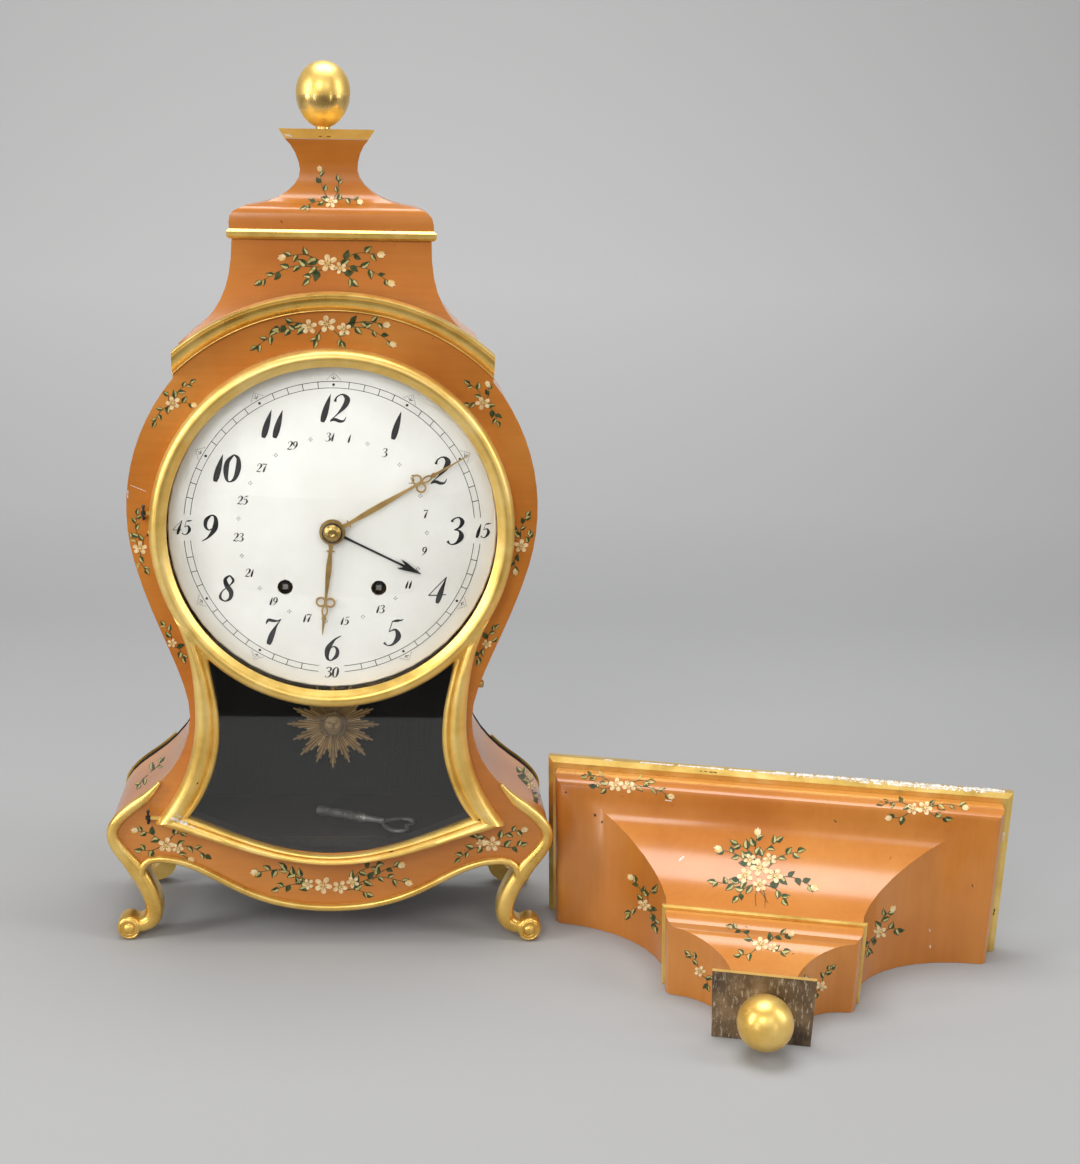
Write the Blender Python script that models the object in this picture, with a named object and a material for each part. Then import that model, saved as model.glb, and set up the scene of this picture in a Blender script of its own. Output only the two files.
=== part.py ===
"""Bracket clock with its wall bracket.

A waisted wooden case on scroll legs carries a glazed door, an enamel dial, a two-train brass
movement and a pendulum. The wall bracket lies on its wall face beside the clock.
Metres, +Z up. The clock faces -Y. Clock coordinates are measured from the clock's axis (x), the
front panel's face (y) and the floor (z); the finished set is moved so that the origin is on the
floor in the middle of its box.
"""
from math import acos, asin, atan2, cos, hypot, pi, radians, sin, sqrt

import bmesh
import bpy
from mathutils import Matrix, Vector
from mathutils.geometry import delaunay_2d_cdt

# Clearance between two pieces that meet, and round a pin that turns in its hole
GAP = 0.0003

# Case outline, seen from the front
HEAD_RADIUS = 0.151
HEAD_UP = 0.0135
HEAD_RUN_OUT = 0.052
SHOULDER_HALF = 0.116
ARCH_RADIUS = 0.168
ARCH_UP = 0.1623
WAIST_HALF = 0.106
WAIST_DROP = 0.1445
WAIST_EASE = 0.029
HIP_IN = 0.0252
HIP_UP = 0.0297
HIP_EASE = 0.026
BELLY_HALF = 0.1687
BELLY_Z = 0.084
BELLY_EASE = 0.012
KNEE_HALF = 0.152
KNEE_Z = 0.052
APRON_PEAK_HALF = 0.131
APRON_PEAK_Z = 0.0615
APRON_Z = 0.0225
APRON_EASE = 0.075
APRON_PEAK_EASE = 0.041

# Case boards
CASE_DEPTH = 0.112
FRONT_THICK = 0.012
BACK_THICK = 0.010
SIDE_THICK = 0.008
FLOOR_TOP_Z = 0.078
FLOOR_THICK = 0.008
TOP_THICK = 0.008
TOP_OPENING_HALF = 0.070
TOP_OPENING_MARGIN = 0.010
SEAT_THICK = 0.008
SEAT_FRONT_Y = 0.018
SEAT_BACK_Y = 0.070

# Cornice over the arch
CORNICE_RISE = 0.011
CORNICE_OUT = 0.011
CORNICE_LAP = 0.002
CORNICE_LIP = 0.002

# Hood, from its foot to the finial
HOOD_X = -0.0025
HOOD_FOOT_HALF = 0.1105
HOOD_FOOT_HEIGHT = 0.0155
HOOD_TOP_HALF = 0.0725
HOOD_TOP_HALF_DEPTH = 0.040
HOOD_HEIGHT = 0.0905
HOOD_WALL = 0.007
HOOD_EASE = 0.045
BAND_HEIGHT = 0.007
BAND_PROUD = 0.0035
CAP_LEAN = -0.0045
CAP_SHOULDER_HEIGHT = 0.0175
CAP_SHOULDER_IN = 0.0215
CAP_NECK_HALF = 0.021
CAP_NECK_HALF_DEPTH = 0.018
CAP_NECK_HEIGHT = 0.042
CAP_HEIGHT = 0.064
CAP_TOP_FLARE = 0.0095
PLATE_HEIGHT = 0.007
PLATE_FLARE = 0.0045
FINIAL_X = -0.0104
FINIAL_HEIGHT = 0.049
FINIAL_RADIUS = 0.0200
FINIAL_NECK_RADIUS = 0.0055
FINIAL_NECK_HEIGHT = 0.003

# Legs and edging
EDGING_WIDTH = 0.0085
EDGING_TIP_WIDTH = 0.002
EDGING_TAPER = 0.020
EDGING_PROUD = 0.0015
EDGING_RELIEF = 0.0042
EDGING_START_Z = 0.127
LEG_WIDTH = 0.0135
LEG_DEPTH = 0.013
FOOT_HALF = 0.150
SCROLL_RADIUS = 0.009
SCROLL_KNOB_RADIUS = 0.0045
SCROLL_KNOB_PROUD = 0.002
SCROLL_PROUD = 0.002
LEG_BULGE = 0.027
LEG_REACH = 0.022
APRON_EDGING_WIDTH = 0.0055
APRON_EDGING_END = 0.0085

# Door
DIAL_Z = 0.3225
BEZEL_RADIUS = 0.134
BEZEL_WIDTH = 0.013
DOOR_MARGIN = 0.0045
BAR_WIDTH = 0.0182
BAR_LEAVE = radians(-28.8)
BAR_RUN_OUT = 0.026
DOOR_WAIST_DROP = 0.1435
DOOR_TIP_HALF = 0.1324
DOOR_TIP_Z = 0.0957
DOOR_FOOT_Z = 0.0633
DOOR_FOOT_BAR = 0.0078
WINDOW_CORNER_HALF = 0.1073
WINDOW_CORNER_Z = 0.101
WINDOW_TOP_HALF = 0.091
WINDOW_EASE = 0.024
DOOR_DEPTH = 0.015
DOOR_ROUND = 0.0028
GLASS_THICK = 0.002
GLASS_REBATE = 0.0025
GLASS_SEAT_DEPTH = 0.0066
DOME_RISE = 0.0175
OPENING_RADIUS = 0.125
OPENING_MARGIN = 0.002

# Door hinges, catch and release button
HINGE_AXIS_OUT = 0.0035
HINGE_PIN_RADIUS = 0.0012
HINGE_EYE_HALF = 0.0021
HINGE_EYE_HEIGHT = 0.006
HINGE_ARM_HALF = 0.002
HINGE_ARM_HEIGHT = 0.005
HINGE_WEB = 0.006
BUTTON_DROP = 0.1235
BUTTON_SETBACK = 0.008
BUTTON_RADIUS = 0.003
BUTTON_PROUD = 0.006
BUTTON_TRAVEL = 0.003
BUTTON_COLLAR_RADIUS = 0.0045
BUTTON_COLLAR_THICK = 0.002
CATCH_THICK = 0.0015
CATCH_REACH = 0.018
CATCH_HALF_HEIGHT = 0.006
CATCH_FOOT = 0.006

# Dial and hands
DIAL_RADIUS = 0.1215
DIAL_THICK = 0.002
DIAL_SETBACK = 0.003
DIAL_RISE = 0.009
DIAL_HOLE_RADIUS = 0.0056
WINDING_HOLE_RADIUS = 0.0058
WINDING_HALF = 0.0345
WINDING_DROP = 0.043
HAND_THICK = 0.001
HAND_STEP = 0.0027
MINUTE_LEAN = 1.073
HOUR_LEAN = 0.80
DATE_LEAN = 1.0
MINUTE_HAND_LENGTH = 0.1115
HOUR_HAND_LENGTH = 0.079
DATE_HAND_LENGTH = 0.073
MINUTE_BOSS_RADIUS = 0.009
HOUR_BOSS_RADIUS = 0.0095
DATE_BOSS_RADIUS = 0.0075
HAND_TAIL_HALF = 0.0016
HAND_LOOP_HALF = 0.0055
NUT_RADIUS = 0.0075
NUT_HEIGHT = 0.0035
MINUTE_READING = radians(60)
HOUR_READING = radians(185)
DATE_READING = radians(116)
CENTRE_TIP_RADIUS = 0.0012
CANNON_RADIUS = 0.0024
HOUR_PIPE_RADIUS = 0.0037
DATE_PIPE_RADIUS = 0.0051

# Movement plates
PLATE_SETBACK = 0.022
PLATE_THICK = 0.003
PLATE_SPACE = 0.038
PLATE_HALF = 0.067
PLATE_BELOW = 0.0735
PLATE_ABOVE = 0.085
PILLAR_RADIUS = 0.0032
PILLAR_INSET = 0.005
PILLAR_INSET_UP = 0.0075

# Wheels: teeth and modules
GREAT_TEETH = 72
GREAT_MODULE = 0.00084
INTERMEDIATE_LEAVES = 8
INTERMEDIATE_TEETH = 64
INTERMEDIATE_MODULE = 0.00092
CENTRE_LEAVES = 8
CENTRE_TEETH = 72
CENTRE_MODULE = 0.00074
THIRD_LEAVES = 6
THIRD_TEETH = 60
THIRD_MODULE = 0.00072
ESCAPE_LEAVES = 6
ESCAPE_TEETH = 30
ESCAPE_RADIUS = 0.014
PIN_TEETH = 60
PIN_MODULE = 0.0008
FLY_LEAVES = 6
CANNON_LEAVES = 12
MINUTE_TEETH = 36
MINUTE_MODULE = 0.001
MINUTE_LEAVES = 10
HOUR_TEETH = 40
HOUR_MODULE = 0.00096
TOOTH_RISE = 0.3
TOOTH_FALL = 0.9
WHEEL_THICK = 0.002
PINION_EXTRA = 0.001
ARBOR_RADIUS = 0.0013
PIVOT_RADIUS = 0.0008
BARREL_RADIUS = 0.027
BARREL_LENGTH = 0.020
WINDING_ARBOR_RADIUS = 0.003
WINDING_SQUARE_LENGTH = 0.009
WINDING_RECESS = 0.0015
THIRD_ANGLE = radians(100)
ESCAPE_ANGLE = radians(80)
FLY_ANGLE = radians(80)
MINUTE_ANGLE = radians(150)
FLY_VANE_HALF = 0.009
FLY_VANE_LENGTH = 0.010
FLY_VANE_THICK = 0.0012

# How far behind the front plate each wheel runs
GREAT_LAYER = 0.006
THIRD_LAYER = 0.015
CENTRE_LAYER = 0.022
ESCAPE_LAYER = 0.028
SLOW_LAYER = 0.033
VANE_LAYER = 0.018
HAMMER_LAYER = 0.0335

# How far before the front plate the motion wheels run
MINUTE_LAYER = 0.004
HOUR_LAYER = 0.010

# Escapement and pendulum
PENDULUM_Y = 0.080
SUSPENSION_UP = 0.072
BOB_Z = 0.146
ROD_RADIUS = 0.0012
SPRING_THICK = 0.0004
SPRING_HALF = 0.002
SPRING_LENGTH = 0.008
BOB_RADIUS = 0.037
BOB_RAY_DIP = 0.026
BOB_RAYS = 24
BOB_THICK = 0.004
BOB_FACE_RADIUS = 0.012
BOB_FACE_PROUD = 0.003
PALLET_CLEAR = 0.0020
PALLET_ANGLE = radians(52)
ANCHOR_HUB_RADIUS = 0.003
ANCHOR_ARM = 0.0022
ANCHOR_THICK = 0.003
CRUTCH_LENGTH = 0.060
CRUTCH_HALF = 0.0015
CRUTCH_SETBACK = 0.004
CRUTCH_PRONG = 0.0014
COCK_HALF = 0.010
COCK_WALL = 0.003
COCK_DROP = 0.006

# Strike: hammer and bell
BELL_CLEAR = 0.0045
BELL_HEIGHT = 0.027
BELL_WALL = 0.002
BELL_UP = 0.1205
BELL_STUD_RADIUS = 0.0018
BELL_POST_RADIUS = 0.003
BELL_POST_FOOT_RADIUS = 0.006
BELL_POST_FOOT = 0.003
HAMMER_X = 0.050
HAMMER_UP = 0.050
HAMMER_ARM = 0.0015
HAMMER_HEAD_HALF = 0.005
HAMMER_HEAD_GAP = 0.0025
HAMMER_THICK = 0.003

# Winding key on the case floor
KEY_X = 0.0155
KEY_Y = 0.045
KEY_TURN = radians(-24)
KEY_SHANK_RADIUS = 0.004
KEY_SHANK_LENGTH = 0.058
KEY_SOCKET_HALF = 0.0024
KEY_SOCKET_DEPTH = 0.015
KEY_BOW_HALF = 0.016
KEY_BOW_LENGTH = 0.026
KEY_BOW_WIRE = 0.0032

# Wall bracket, lying on its wall face; heights are measured from the wall
BRACKET_CLEAR = 0.0042
BRACKET_Y = 0.0264
BRACKET_TURN = radians(-12.8)
BRACKET_TAPER = 0.0045
SHELF_HALF = 0.177
SHELF_DEPTH = 0.1285
SHELF_THICK = 0.011
SHELF_ROUND = 0.0015
SHELF_COVE = 0.004
TIER_INSET = 0.008
TIER_ROUND = 0.0095
TIER_ROUND_IN = 0.006
UPPER_LENGTH = 0.1075
UPPER_STRAIGHT = 0.0145
LOWER_X = -0.004
EDGE_HALF = 0.073
EDGE_DEPTH = 0.0615
EDGE_THICK = 0.004
EDGE_PROUD = 0.003
LOWER_LENGTH = 0.068
LOWER_STRAIGHT = 0.006
LOWER_END_HALF = 0.021
LOWER_END_DEPTH = 0.041
BASE_X = -0.002
BASE_HALF = 0.0353
BASE_DEPTH = 0.0485
BASE_THICK = 0.004
BALL_RADIUS = 0.0192
BALL_NECK_RADIUS = 0.008
BALL_NECK = 0.001

# Facets on round pieces
FINE = 48
ROUND = 32
SMALL = 12
PIN = 6

# Values that follow from the sizes above
BACK_INNER_Y = CASE_DEPTH - BACK_THICK
HEAD_Z = DIAL_Z + HEAD_UP
ARCH_TOP_Z = DIAL_Z + ARCH_UP
WAIST_Z = DIAL_Z - WAIST_DROP
DOOR_WAIST_Z = DIAL_Z - DOOR_WAIST_DROP
BUTTON_Z = DIAL_Z - BUTTON_DROP
ARCH_CENTRE_Z = ARCH_TOP_Z - ARCH_RADIUS
SHOULDER_Z = HEAD_Z + sqrt(HEAD_RADIUS ** 2 - SHOULDER_HALF ** 2)
TOP_BOARD_Z = SHOULDER_Z + GAP
HOOD_Z = TOP_BOARD_Z + TOP_THICK + GAP
BAND_Z = HOOD_Z + HOOD_HEIGHT + GAP
CAP_Z = BAND_Z + BAND_HEIGHT + GAP
TOP_PLATE_Z = CAP_Z + CAP_HEIGHT + GAP
FINIAL_Z = TOP_PLATE_Z + PLATE_HEIGHT + GAP
HOOD_FRONT_Y = FRONT_THICK + CORNICE_LIP
HOOD_CENTRE_Y = (HOOD_FRONT_Y + CASE_DEPTH) / 2
HOOD_FOOT_HALF_DEPTH = (CASE_DEPTH - HOOD_FRONT_Y) / 2
DOOR_BACK_Y = -GAP
DOOR_FRONT_Y = DOOR_BACK_Y - DOOR_DEPTH
GLASS_Y = DOOR_FRONT_Y + GLASS_SEAT_DEPTH
HINGE_X = -(BEZEL_RADIUS + HINGE_AXIS_OUT)
HINGE_Y = (DOOR_FRONT_Y + DOOR_BACK_Y) / 2
DATE_HAND_Y = DIAL_SETBACK - DIAL_RISE - HAND_THICK - GAP
HOUR_HAND_Y = DATE_HAND_Y - HAND_STEP
MINUTE_HAND_Y = HOUR_HAND_Y - HAND_STEP
NUT_Y = MINUTE_HAND_Y - GAP
FRONT_PLATE_BACK_Y = PLATE_SETBACK + PLATE_THICK
BACK_PLATE_Y = FRONT_PLATE_BACK_Y + PLATE_SPACE
BACK_PLATE_END_Y = BACK_PLATE_Y + PLATE_THICK
SUSPENSION_Z = DIAL_Z + SUSPENSION_UP
BELL_Y = BACK_PLATE_Y + PLATE_THICK / 2
BELL_RIM_Z = DIAL_Z + BELL_UP
BELL_ROOM_FRONT = BELL_Y - HOOD_FRONT_Y - HOOD_WALL
BELL_ROOM_BACK = CASE_DEPTH - HOOD_WALL - BELL_Y
BELL_RADIUS = min(BELL_ROOM_FRONT, BELL_ROOM_BACK) - BELL_CLEAR
PLATE_TOP_Z = DIAL_Z + PLATE_ABOVE
BRACKET_X = BELLY_HALF + BRACKET_CLEAR + SHELF_HALF * cos(BRACKET_TURN)
SEAT_TOP_Z = DIAL_Z - PLATE_BELOW - GAP


def polar(centre, radius, angle):
    return (centre[0] + radius * cos(angle), centre[1] + radius * sin(angle))


def pitch_radius(module, teeth):
    return module * teeth / 2


def heading(start, end):
    return atan2(end[1] - start[1], end[0] - start[0])


def meeting_point(first, first_reach, second, second_reach, side):
    """Point at the given reaches from two others; side chooses between the two answers."""
    apart = hypot(second[0] - first[0], second[1] - first[1])
    along = (first_reach ** 2 - second_reach ** 2 + apart ** 2) / (2 * apart)
    off = side * sqrt(first_reach ** 2 - along ** 2)
    way = heading(first, second)
    return polar(polar(first, along, way), off, way + pi / 2)


# Arbor places, as (x, z)
CENTRE = (0.0, DIAL_Z)
GOING = (-WINDING_HALF, DIAL_Z - WINDING_DROP)
STRIKE = (WINDING_HALF, DIAL_Z - WINDING_DROP)
GREAT_REACH = pitch_radius(GREAT_MODULE, GREAT_TEETH + INTERMEDIATE_LEAVES)
SLOW_REACH = pitch_radius(INTERMEDIATE_MODULE, INTERMEDIATE_TEETH + CENTRE_LEAVES)
INTERMEDIATE = meeting_point(GOING, GREAT_REACH, CENTRE, SLOW_REACH, 1)
PIN_ARBOR = (-INTERMEDIATE[0], INTERMEDIATE[1])
THIRD = polar(CENTRE, pitch_radius(CENTRE_MODULE, CENTRE_TEETH + THIRD_LEAVES), THIRD_ANGLE)
ESCAPE = polar(THIRD, pitch_radius(THIRD_MODULE, THIRD_TEETH + ESCAPE_LEAVES), ESCAPE_ANGLE)
FLY = polar(PIN_ARBOR, pitch_radius(PIN_MODULE, PIN_TEETH + FLY_LEAVES), FLY_ANGLE)
MINUTE = polar(CENTRE, pitch_radius(MINUTE_MODULE, CANNON_LEAVES + MINUTE_TEETH), MINUTE_ANGLE)
ANCHOR = (0.0, SUSPENSION_Z)
HAMMER = (HAMMER_X, DIAL_Z + HAMMER_UP)


# Outlines: lists of (x, z) points

def arc(centre, radius, start, end, steps):
    return [polar(centre, radius, start + (end - start) * i / steps) for i in range(steps + 1)]


def circle(centre, radius, count, phase=0.0):
    return [polar(centre, radius, phase + 2 * pi * i / count) for i in range(count)]


def bezier(first, handle, handle_end, last, steps):
    points = []
    for i in range(steps + 1):
        t = i / steps
        weights = ((1 - t) ** 3, 3 * t * (1 - t) ** 2, 3 * t * t * (1 - t), t ** 3)
        corners = (first, handle, handle_end, last)
        points.append(tuple(sum(w * c[k] for w, c in zip(weights, corners)) for k in (0, 1)))
    return points


def mirrored(half):
    """Closed loop from its right half, which runs from the axis to the axis."""
    return half + [(-x, z) for x, z in reversed(half[1:-1])]


def rectangle(x0, z0, x1, z1):
    return [(x0, z0), (x1, z0), (x1, z1), (x0, z1)]


def normals(path, closed):
    """Unit normals to the left of the path's direction, with their mitre stretch."""
    result = []
    last = len(path) - 1
    for i, point in enumerate(path):
        before = path[i - 1] if i > 0 or closed else None
        after = path[(i + 1) % len(path)] if i < last or closed else None
        ways = []
        if before:
            ways.append(Vector((point[0] - before[0], point[1] - before[1])).normalized())
        if after:
            ways.append(Vector((after[0] - point[0], after[1] - point[1])).normalized())
        middle = sum(ways, Vector((0, 0))).normalized()
        stretch = 1 / max(middle.dot(ways[0]), 0.3)
        result.append((-middle.y * stretch, middle.x * stretch))
    return result


def offset(path, amount, closed=True):
    """Path moved to its left by an amount: inwards on a loop that runs anticlockwise."""
    sides = normals(path, closed)
    return [(p[0] + n[0] * amount, p[1] + n[1] * amount) for p, n in zip(path, sides)]


def gear(centre, teeth, module, phase):
    """Zigzag outline of a toothed wheel with a tooth at the phase angle."""
    pitch = pitch_radius(module, teeth)
    points = []
    for i in range(teeth):
        angle = phase + 2 * pi * i / teeth
        points.append(polar(centre, pitch + TOOTH_RISE * module, angle))
        points.append(polar(centre, pitch - TOOTH_FALL * module, angle + pi / teeth))
    return points


def wheel_facing(centre, partner, teeth, module):
    """Wheel outline with a gap between two teeth towards its partner."""
    return gear(centre, teeth, module, heading(centre, partner) + pi / teeth)


def pinion_facing(centre, partner, leaves, module):
    """Pinion outline with a leaf towards its partner."""
    return gear(centre, leaves, module, heading(centre, partner))


def side_curve():
    """Right-hand outline of the case, from the shoulder down to the knee."""
    run_out = -radians(15)
    shoulder = acos(SHOULDER_HALF / HEAD_RADIUS)
    points = arc((0, HEAD_Z), HEAD_RADIUS, shoulder, run_out, 12)
    leave = points[-1]
    leave_handle = polar(leave, HEAD_RUN_OUT, run_out - pi / 2)
    waist = (WAIST_HALF, WAIST_Z)
    hip = (BELLY_HALF - HIP_IN, BELLY_Z + HIP_UP)
    belly = (BELLY_HALF, BELLY_Z)
    knee = (KNEE_HALF, KNEE_Z)
    hip_way = atan2(-HIP_UP, HIP_IN) + radians(14)
    points += bezier(leave, leave_handle, (WAIST_HALF, WAIST_Z + WAIST_EASE), waist, 8)[1:]
    hip_handle = polar(hip, -HIP_EASE, hip_way)
    points += bezier(waist, (WAIST_HALF, WAIST_Z - WAIST_EASE), hip_handle, hip, 7)[1:]
    hip_handle = polar(hip, HIP_EASE / 2, hip_way)
    points += bezier(hip, hip_handle, (BELLY_HALF, BELLY_Z + BELLY_EASE), belly, 5)[1:]
    knee_way = heading(belly, knee)
    knee_handle = polar(knee, -BELLY_EASE, knee_way)
    points += bezier(belly, (BELLY_HALF, BELLY_Z - BELLY_EASE), knee_handle, knee, 5)[1:]
    return points


def apron_curve():
    """Right half of the front panel's lower edge, from the axis to the peak beside the knee."""
    peak = (APRON_PEAK_HALF, APRON_PEAK_Z)
    handle = (APRON_PEAK_HALF - APRON_PEAK_EASE, APRON_PEAK_Z)
    return bezier((0, APRON_Z), (APRON_EASE, APRON_Z), handle, peak, 10)


def crossing(path, z):
    """Smallest half width at which a path crosses a height."""
    found = []
    for (xa, za), (xb, zb) in zip(path, path[1:]):
        if min(za, zb) <= z <= max(za, zb) and za != zb:
            found.append(xa + (xb - xa) * (z - za) / (zb - za))
    return min(found)


def inner_half(z0, z1):
    """Half width that fits between the side panels over a range of heights."""
    inner = offset(side_curve(), -SIDE_THICK, closed=False)
    steps = 8
    return min(crossing(inner, z0 + (z1 - z0) * i / steps) for i in range(steps + 1)) - GAP


def window_side(waist_half):
    """Inner edge of the door's right bar, from the window's lower corner up to the bezel."""
    corner = (WINDOW_CORNER_HALF, WINDOW_CORNER_Z)
    top = (WINDOW_TOP_HALF, DIAL_Z - sqrt(BEZEL_RADIUS ** 2 - WINDOW_TOP_HALF ** 2))
    waist = (waist_half, DOOR_WAIST_Z - WINDOW_EASE / 2)
    inward = (WINDOW_CORNER_HALF - WINDOW_EASE / 2, WINDOW_CORNER_Z + WINDOW_EASE / 2)
    points = bezier(corner, inward, (waist_half, waist[1] - WINDOW_EASE), waist, 7)
    rise = ((waist_half + WINDOW_TOP_HALF) / 2, top[1] - WINDOW_EASE)
    points += bezier(waist, (waist_half, waist[1] + WINDOW_EASE), rise, top, 5)[1:]
    return points


def window_foot():
    """Right half of the window's lower edge, from the axis to its corner."""
    z = DOOR_FOOT_Z + DOOR_FOOT_BAR
    corner = (WINDOW_CORNER_HALF, WINDOW_CORNER_Z)
    handle = (WINDOW_CORNER_HALF * 0.7, WINDOW_CORNER_Z - (WINDOW_CORNER_Z - z) * 0.43)
    return bezier((0, z), (WINDOW_CORNER_HALF * 0.37, z), handle, corner, 8)


def window_lower():
    """Right half of the window's outline below the bezel."""
    waist_half = WAIST_HALF - DOOR_MARGIN - BAR_WIDTH
    return window_foot() + window_side(waist_half)[1:]


def window_loop():
    lower = window_lower()
    start = heading(CENTRE, lower[-1])
    return mirrored(lower + arc(CENTRE, BEZEL_RADIUS, start, -pi / 2, 8)[1:])


def opening_loop():
    """Keyhole opening of the front panel, a margin wider than the door's window."""
    grown = offset(window_lower(), -OPENING_MARGIN, closed=False)
    grown[0] = (0, grown[0][1])
    outside = [p for p in grown if hypot(p[0], p[1] - DIAL_Z) > OPENING_RADIUS]
    start = heading(CENTRE, outside[-1])
    return mirrored(outside + arc(CENTRE, OPENING_RADIUS, start, pi / 2, 28))


def door_outline():
    tip = (DOOR_TIP_HALF, DOOR_TIP_Z)
    waist = (WAIST_HALF - DOOR_MARGIN, DOOR_WAIST_Z)
    fall = DOOR_TIP_Z - DOOR_FOOT_Z
    foot_handle = (DOOR_TIP_HALF * 0.37, DOOR_FOOT_Z)
    half = bezier((0, DOOR_FOOT_Z), foot_handle, (DOOR_TIP_HALF * 0.68, DOOR_TIP_Z - fall * 0.36), tip, 9)
    rise = DOOR_WAIST_Z - DOOR_TIP_Z
    tip_handle = (waist[0] + (tip[0] - waist[0]) * 0.35, DOOR_TIP_Z + rise * 0.27)
    half += bezier(tip, tip_handle, (waist[0], DOOR_WAIST_Z - rise * 0.35), waist, 8)[1:]
    leave = polar(CENTRE, BEZEL_RADIUS, BAR_LEAVE)
    leave_handle = polar(leave, BAR_RUN_OUT, BAR_LEAVE - pi / 2)
    half += bezier(waist, (waist[0], DOOR_WAIST_Z + BAR_RUN_OUT), leave_handle, leave, 6)[1:]
    half += arc(CENTRE, BEZEL_RADIUS, BAR_LEAVE, pi / 2, 24)[1:]
    return mirrored(half)


# Solids: each function gives a closed bmesh in clock coordinates

def finished(bm):
    bmesh.ops.remove_doubles(bm, verts=bm.verts, dist=1e-7)
    bmesh.ops.recalc_face_normals(bm, faces=bm.faces)
    return bm


def between(point, loops):
    """Whether a point lies inside an odd number of the loops."""
    odd = False
    for loop in loops:
        for a, b in zip(loop, loop[1:] + loop[:1]):
            if (a[1] > point[1]) != (b[1] > point[1]):
                odd ^= point[0] < a[0] + (point[1] - a[1]) / (b[1] - a[1]) * (b[0] - a[0])
    return odd


def fill(bm, rings, axes=(0, 2)):
    """Flat face between rings of vertices, worked out in two of the three directions."""
    verts = [v for ring in rings for v in ring]
    loops = [[Vector((v.co[axes[0]], v.co[axes[1]])) for v in ring] for ring in rings]
    edges = []
    for ring in rings:
        first = len(edges)
        edges += [(first + i, first + (i + 1) % len(ring)) for i in range(len(ring))]
    points = [p for loop in loops for p in loop]
    for face in delaunay_2d_cdt(points, edges, [], 0, 1e-9)[2]:
        middle = sum((points[i] for i in face), Vector((0, 0))) / len(face)
        if between(middle, loops):
            bm.faces.new([verts[i] for i in face])


def bridge(bm, first, second):
    for i in range(len(first)):
        j = (i + 1) % len(first)
        bm.faces.new((first[i], first[j], second[j], second[i]))


def board(*boundaries):
    """Solid with a rim and holes; each boundary is a list of (loop, y) from front to back."""
    bm = bmesh.new()
    fronts = []
    backs = []
    for rings in boundaries:
        made = [[bm.verts.new((x, y, z)) for x, z in loop] for loop, y in rings]
        for first, second in zip(made, made[1:]):
            bridge(bm, first, second)
        fronts.append(made[0])
        backs.append(made[-1])
    fill(bm, fronts)
    fill(bm, backs)
    return finished(bm)


def slab(rim, y0, y1, *holes):
    """Board of even thickness."""
    return board(*[[(loop, y0), (loop, y1)] for loop in (rim, *holes)])


def posted(rim, y0, y1, holes, posts, back_tip_y):
    """Slab with posts that stand out of both its faces; each post is (outline, front tip)."""
    bm = bmesh.new()
    faces = ([], [])
    for loop in (rim, *holes):
        walls = [[bm.verts.new((x, y, z)) for x, z in loop] for y in (y0, y1)]
        bridge(bm, *walls)
        faces[0].append(walls[0])
        faces[1].append(walls[1])
    for loop, front_tip_y in posts:
        for root_y, tip_y, rings in ((y0, front_tip_y, faces[0]), (y1, back_tip_y, faces[1])):
            root = [bm.verts.new((x, root_y, z)) for x, z in loop]
            tip = [bm.verts.new((x, tip_y, z)) for x, z in loop]
            bridge(bm, root, tip)
            bm.faces.new(tip)
            rings.append(root)
    fill(bm, faces[0])
    fill(bm, faces[1])
    return finished(bm)


def stack(start_y, *layers):
    """Coaxial prisms end to end along Y; each layer is (rim, bore or None, length)."""
    bm = bmesh.new()
    y = start_y
    ends = []
    for rim, bore, length in layers:
        walls = []
        for loop in (rim, bore):
            if loop is None:
                walls.append((None, None))
                continue
            front = [bm.verts.new((x, y, z)) for x, z in loop]
            back = [bm.verts.new((x, y + length, z)) for x, z in loop]
            bridge(bm, front, back)
            walls.append((front, back))
        ends.append(walls)
        y += length
    fill(bm, [wall[0] for wall in ends[0] if wall[0]])
    fill(bm, [wall[1] for wall in ends[-1] if wall[1]])
    for i in range(len(layers) - 1):
        for k in (0, 1):
            if layers[i][k] is not layers[i + 1][k]:
                meeting = [ends[i][k][1], ends[i + 1][k][0]]
                fill(bm, [ring for ring in meeting if ring])
    return finished(bm)


def loft(rings):
    """Solid through rings of 3D points, closed by flat ends."""
    bm = bmesh.new()
    made = [[bm.verts.new(p) for p in ring] for ring in rings]
    for first, second in zip(made, made[1:]):
        bridge(bm, first, second)
    bm.faces.new(made[0])
    bm.faces.new(made[-1])
    return finished(bm)


def turned(profile, count, place, closed=False):
    """Solid of revolution: profile of (radius, height) put in space by place(radius, angle, height)."""
    bm = bmesh.new()
    rings = []
    for radius, height in profile:
        if radius == 0:
            rings.append([bm.verts.new(place(0, 0, height))])
        else:
            rings.append([bm.verts.new(place(radius, 2 * pi * i / count, height)) for i in range(count)])
    pairs = list(zip(rings, rings[1:]))
    if closed:
        pairs.append((rings[-1], rings[0]))
    for first, second in pairs:
        if len(first) == len(second):
            bridge(bm, first, second)
            continue
        pole, rim = (first[0], second) if len(first) == 1 else (second[0], first)
        for i in range(count):
            bm.faces.new((pole, rim[i], rim[(i + 1) % count]))
    return finished(bm)


def upright(x, y):
    """Placing for a piece turned about a vertical axis."""
    return lambda radius, angle, height: (x + radius * cos(angle), y + radius * sin(angle), height)


def facing(centre):
    """Placing for a piece turned about an axis along Y."""
    def place(radius, angle, height):
        x, z = polar(centre, radius, angle)
        return (x, height, z)
    return place


def lying(x, z):
    """Placing for a piece turned about an axis along X."""
    return lambda radius, angle, height: (height, x + radius * cos(angle), z + radius * sin(angle))


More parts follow.
